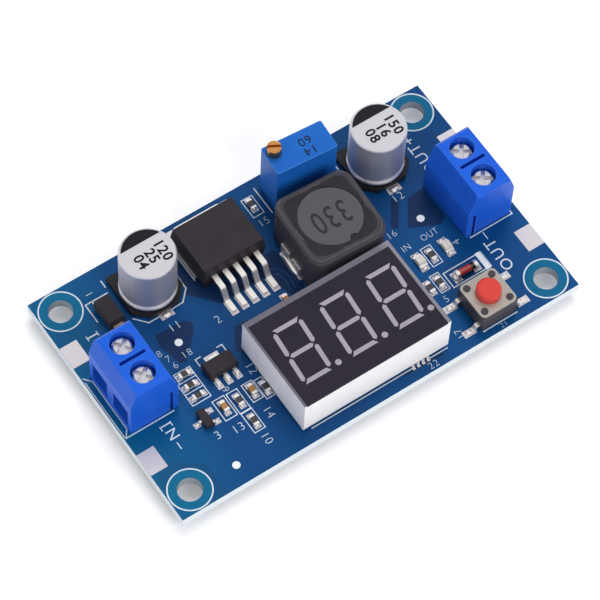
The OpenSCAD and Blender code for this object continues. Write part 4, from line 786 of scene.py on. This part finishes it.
# Cast resin: glossy and cream, with ripples 2.5 mm wide where it set
resin, tree, place = start_material("cast_epoxy_resin")
ripple = add(tree, "ShaderNodeTexNoise", {"Vector": place, "Scale": 0.4 / MM, "Detail": 1}).outputs["Fac"]
bump = add(tree, "ShaderNodeBump", {"Height": ripple, "Strength": 0.3, "Distance": 0.1 * MM}).outputs[0]
add(tree, "Principled BSDF", {"Base Color": "#d9d4c8", "Roughness": 0.2, "IOR": 1.55, "Normal": bump})
finish(resin, "display_potting")

# Printed film: satin and nearly black, its grain drawn at 0.17 mm so that it shows, clouds of 7 mm
film, tree, place = start_material("printed_charcoal_film")
grain = add(tree, "ShaderNodeTexNoise", {"Vector": place, "Scale": 6 / MM}).outputs["Fac"]
cloud = add(tree, "ShaderNodeTexNoise", {"Vector": place, "Scale": 0.15 / MM, "Detail": 1}).outputs["Fac"]
colour = add(tree, "ShaderNodeMix", {0: cloud, 6: "#26222d", 7: "#2c2733"}, data_type="RGBA").outputs[2]
bump = add(tree, "ShaderNodeBump", {"Height": grain, "Strength": 0.15, "Distance": 0.02 * MM}).outputs[0]
add(tree, "Principled BSDF", {"Base Color": colour, "Roughness": 0.4, "IOR": 1.5, "Normal": bump,
                              "Specular IOR Level": 0.12})
finish(film, "display_face")

# Epoxy cast into the segments: grey while unlit, cloudy over 1.1 mm and soft under its surface
diffuser, tree, place = start_material("milky_epoxy_diffuser")
cloud = add(tree, "ShaderNodeTexNoise", {"Vector": place, "Scale": 0.9 / MM}).outputs["Fac"]
colour = add(tree, "ShaderNodeMix", {0: cloud, 6: "#9a939e", 7: "#aaa4ae"}, data_type="RGBA").outputs[2]
add(tree, "Principled BSDF", {"Base Color": colour, "Roughness": 0.45, "IOR": 1.5, "Specular IOR Level": 0.2,
                              "Subsurface Weight": 0.15, "Subsurface Scale": 0.3 * MM})
finish(diffuser, "display_segments")

# Push button: a nylon base with a pressed cover of nickel-plated steel on four melted rivets,
# a red plunger, and a snap dome beneath it.
nickel, tree, place = start_material("nickel_plated_steel_sheet")
# Rolled sheet: satin and warm grey, with lines 0.2 mm apart that run across the board
rolled = add(tree, "ShaderNodeMapping", {"Vector": place, "Scale": (1, 0.08, 1)}).outputs[0]
lines = add(tree, "ShaderNodeTexNoise", {"Vector": rolled, "Scale": 5 / MM, "Detail": 3}).outputs["Fac"]
rough = add(tree, "ShaderNodeMapRange", {"Value": lines, "To Min": 0.4, "To Max": 0.6}).outputs[0]
add(tree, "Principled BSDF", {"Base Color": "#b2aca4", "Metallic": 0.6, "Roughness": rough,
                              "Specular IOR Level": 0.3})
finish(nickel, "button_cover", "button_dome")

# Moulded nylon: satin black, its grain drawn at 0.2 mm so that it shows
nylon, tree, place = start_material("black_nylon")
grain = add(tree, "ShaderNodeTexNoise", {"Vector": place, "Scale": 4.5 / MM}).outputs["Fac"]
bump = add(tree, "ShaderNodeBump", {"Height": grain, "Strength": 0.2, "Distance": 0.04 * MM}).outputs[0]
add(tree, "Principled BSDF", {"Base Color": "#3e3b42", "Roughness": 0.45, "IOR": 1.53, "Normal": bump,
                              "Specular IOR Level": 0.25})
finish(nylon, "button_base")

# Moulded plunger: satin red with a soft edge, its grain drawn at 0.3 mm so that it shows
red, tree, place = start_material("moulded_red_abs")
grain = add(tree, "ShaderNodeTexNoise", {"Vector": place, "Scale": 3.5 / MM}).outputs["Fac"]
round_edge = add(tree, "ShaderNodeBevel", {"Radius": 0.2 * MM}, samples=4).outputs[0]
bump = add(tree, "ShaderNodeBump", {"Height": grain, "Strength": 0.1, "Distance": 0.03 * MM,
                                    "Normal": round_edge}).outputs[0]
add(tree, "Principled BSDF", {"Base Color": "#d0413a", "Roughness": 0.38, "IOR": 1.54, "Normal": bump,
                              "Specular IOR Level": 0.25})
finish(red, "button_plunger")

# Power diode leads: copper strip with a dull coat of tin, folded under the moulded body.
# Heat has oxidised it to a warm brown, in spots 0.7 mm wide.
copper_lead, tree, place = start_material("dull_tinned_copper")
tarnish = add(tree, "ShaderNodeTexNoise", {"Vector": place, "Scale": 1.5 / MM}).outputs["Fac"]
colour = add(tree, "ShaderNodeMix", {0: tarnish, 6: "#8a6a58", 7: "#b39a88"}, data_type="RGBA").outputs[2]
add(tree, "Principled BSDF", {"Base Color": colour, "Metallic": 0.8, "Roughness": 0.42})
finish(copper_lead, "power_diode_leads")

# Glass diode: a clear glass sleeve fused over a pellet and the two tinned end caps that hold it.
# The eye sees a glossy red-brown rod between two bright caps.
sleeve, tree, place = start_material("fused_glass_sleeve")
along = add(tree, "ShaderNodeSeparateXYZ", {"Vector": place}).outputs["X"]
# One end is dark, where the sleeve covers the die
dark_end = add(tree, "ShaderNodeMapRange", {"Value": along, "From Min": 21.1 * MM,
                                            "From Max": 21.4 * MM}).outputs[0]
colour = add(tree, "ShaderNodeMix", {0: dark_end, 6: "#a8331f", 7: "#1a1213"}, data_type="RGBA").outputs[2]
add(tree, "Principled BSDF", {"Base Color": colour, "Roughness": 0.08, "IOR": 1.52, "Coat Weight": 0.6,
                              "Coat Roughness": 0.03})
finish(sleeve, "glass_diode_tube")

# Indicator lamps: a block of milky epoxy cast over a white carrier, soldered by its tinned ends.
# Unlit, it is a pale satin block, cloudy over 0.7 mm and soft under its surface.
lens, tree, place = start_material("milky_lamp_lens")
cloud = add(tree, "ShaderNodeTexNoise", {"Vector": place, "Scale": 1.5 / MM, "Detail": 1}).outputs["Fac"]
colour = add(tree, "ShaderNodeMix", {0: cloud, 6: "#cbc6bd", 7: "#dedad2"}, data_type="RGBA").outputs[2]
add(tree, "Principled BSDF", {"Base Color": colour, "Roughness": 0.25, "IOR": 1.5,
                              "Subsurface Weight": 0.3, "Subsurface Scale": 0.4 * MM})
finish(lens, "indicator_lamps")

# Chip resistors: alumina with a glazed dark film on its top, so the sides stay pale.
# Chip capacitors: layers of ceramic fired to a matt tan block, its grain drawn at 0.3 mm.
glaze, tree, _ = start_material("glazed_resistor_film")
upward = add(tree, "ShaderNodeNewGeometry", {}).outputs["Normal"]
up = add(tree, "ShaderNodeSeparateXYZ", {"Vector": upward}).outputs["Z"]
top_face = add(tree, "ShaderNodeMath", {0: up, 1: 0.5}, operation="GREATER_THAN").outputs[0]
colour = add(tree, "ShaderNodeMix", {0: top_face, 6: "#b9b4ae", 7: "#332d2c"}, data_type="RGBA").outputs[2]
add(tree, "Principled BSDF", {"Base Color": colour, "Roughness": 0.3, "IOR": 1.55})
finish(glaze, "chip_resistor_bodies")

tan_ceramic, tree, place = start_material("fired_tan_ceramic")
grain = add(tree, "ShaderNodeTexNoise", {"Vector": place, "Scale": 3 / MM}).outputs["Fac"]
colour = add(tree, "ShaderNodeMix", {0: grain, 6: "#8f6433", 7: "#b58a52"}, data_type="RGBA").outputs[2]
add(tree, "Principled BSDF", {"Base Color": colour, "Roughness": 0.45})
finish(tan_ceramic, "chip_capacitor_bodies")

# Floor and light: a plain pale table just under the longest pins, soft lamps above and behind, in front
# and at the left, and an even pale surround.
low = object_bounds()[0]


def seen_directly(tree):
    """1 where the camera or a shiny surface looks straight at it, else 0; and the light path's outputs."""
    path = add(tree, "ShaderNodeLightPath", {}).outputs
    return add(tree, "ShaderNodeMath", {0: path["Is Camera Ray"], 1: path["Is Glossy Ray"]},
               operation="MAXIMUM").outputs[0], path


bpy.ops.mesh.primitive_plane_add(size=4, location=(0, 0, low[2] - 0.02 * MM))
floor = bpy.context.object
floor.name = "floor"
table, tree, _ = start_material("pale_table")
seen, path = seen_directly(tree)
lift = add(tree, "ShaderNodeMath", {0: seen, 1: 0.2}, operation="MULTIPLY").outputs[0]
add(tree, "Principled BSDF", {"Base Color": "#f6f6f7", "Roughness": 0.9, "Emission Color": "#ffffff",
                              "Emission Strength": lift})
floor.data.materials.append(table)

world = bpy.data.worlds.new("studio")
bpy.context.scene.world = world
world.use_nodes = True
tree = world.node_tree
seen, path = seen_directly(tree)
seen = add(tree, "ShaderNodeMath", {0: seen, 1: path["Is Transmission Ray"]}, operation="MAXIMUM").outputs[0]
level = add(tree, "ShaderNodeMapRange", {"Value": seen, "To Min": 0.36, "To Max": 1.0}).outputs[0]
add(tree, "Background", {"Color": "#ffffff", "Strength": level})

lamp_size = 0.3
for name, place_at, power in (("lamp_above", (0.16, 0.2, 0.39), 1.06), ("lamp_front", (0.08, -0.4, 0.3), 1.3),
                              ("lamp_side", (-0.42, -0.05, 0.25), 0.6)):
    bpy.ops.object.light_add(type="AREA", location=place_at)
    lamp = bpy.context.object
    lamp.name = name
    lamp.data.size = lamp_size
    lamp.data.energy = power
    lamp.rotation_euler = (-Vector(place_at)).to_track_quat("-Z", "Y").to_euler()
    lamp.visible_glossy = False

bpy.ops.object.select_all(action="DESELECT")
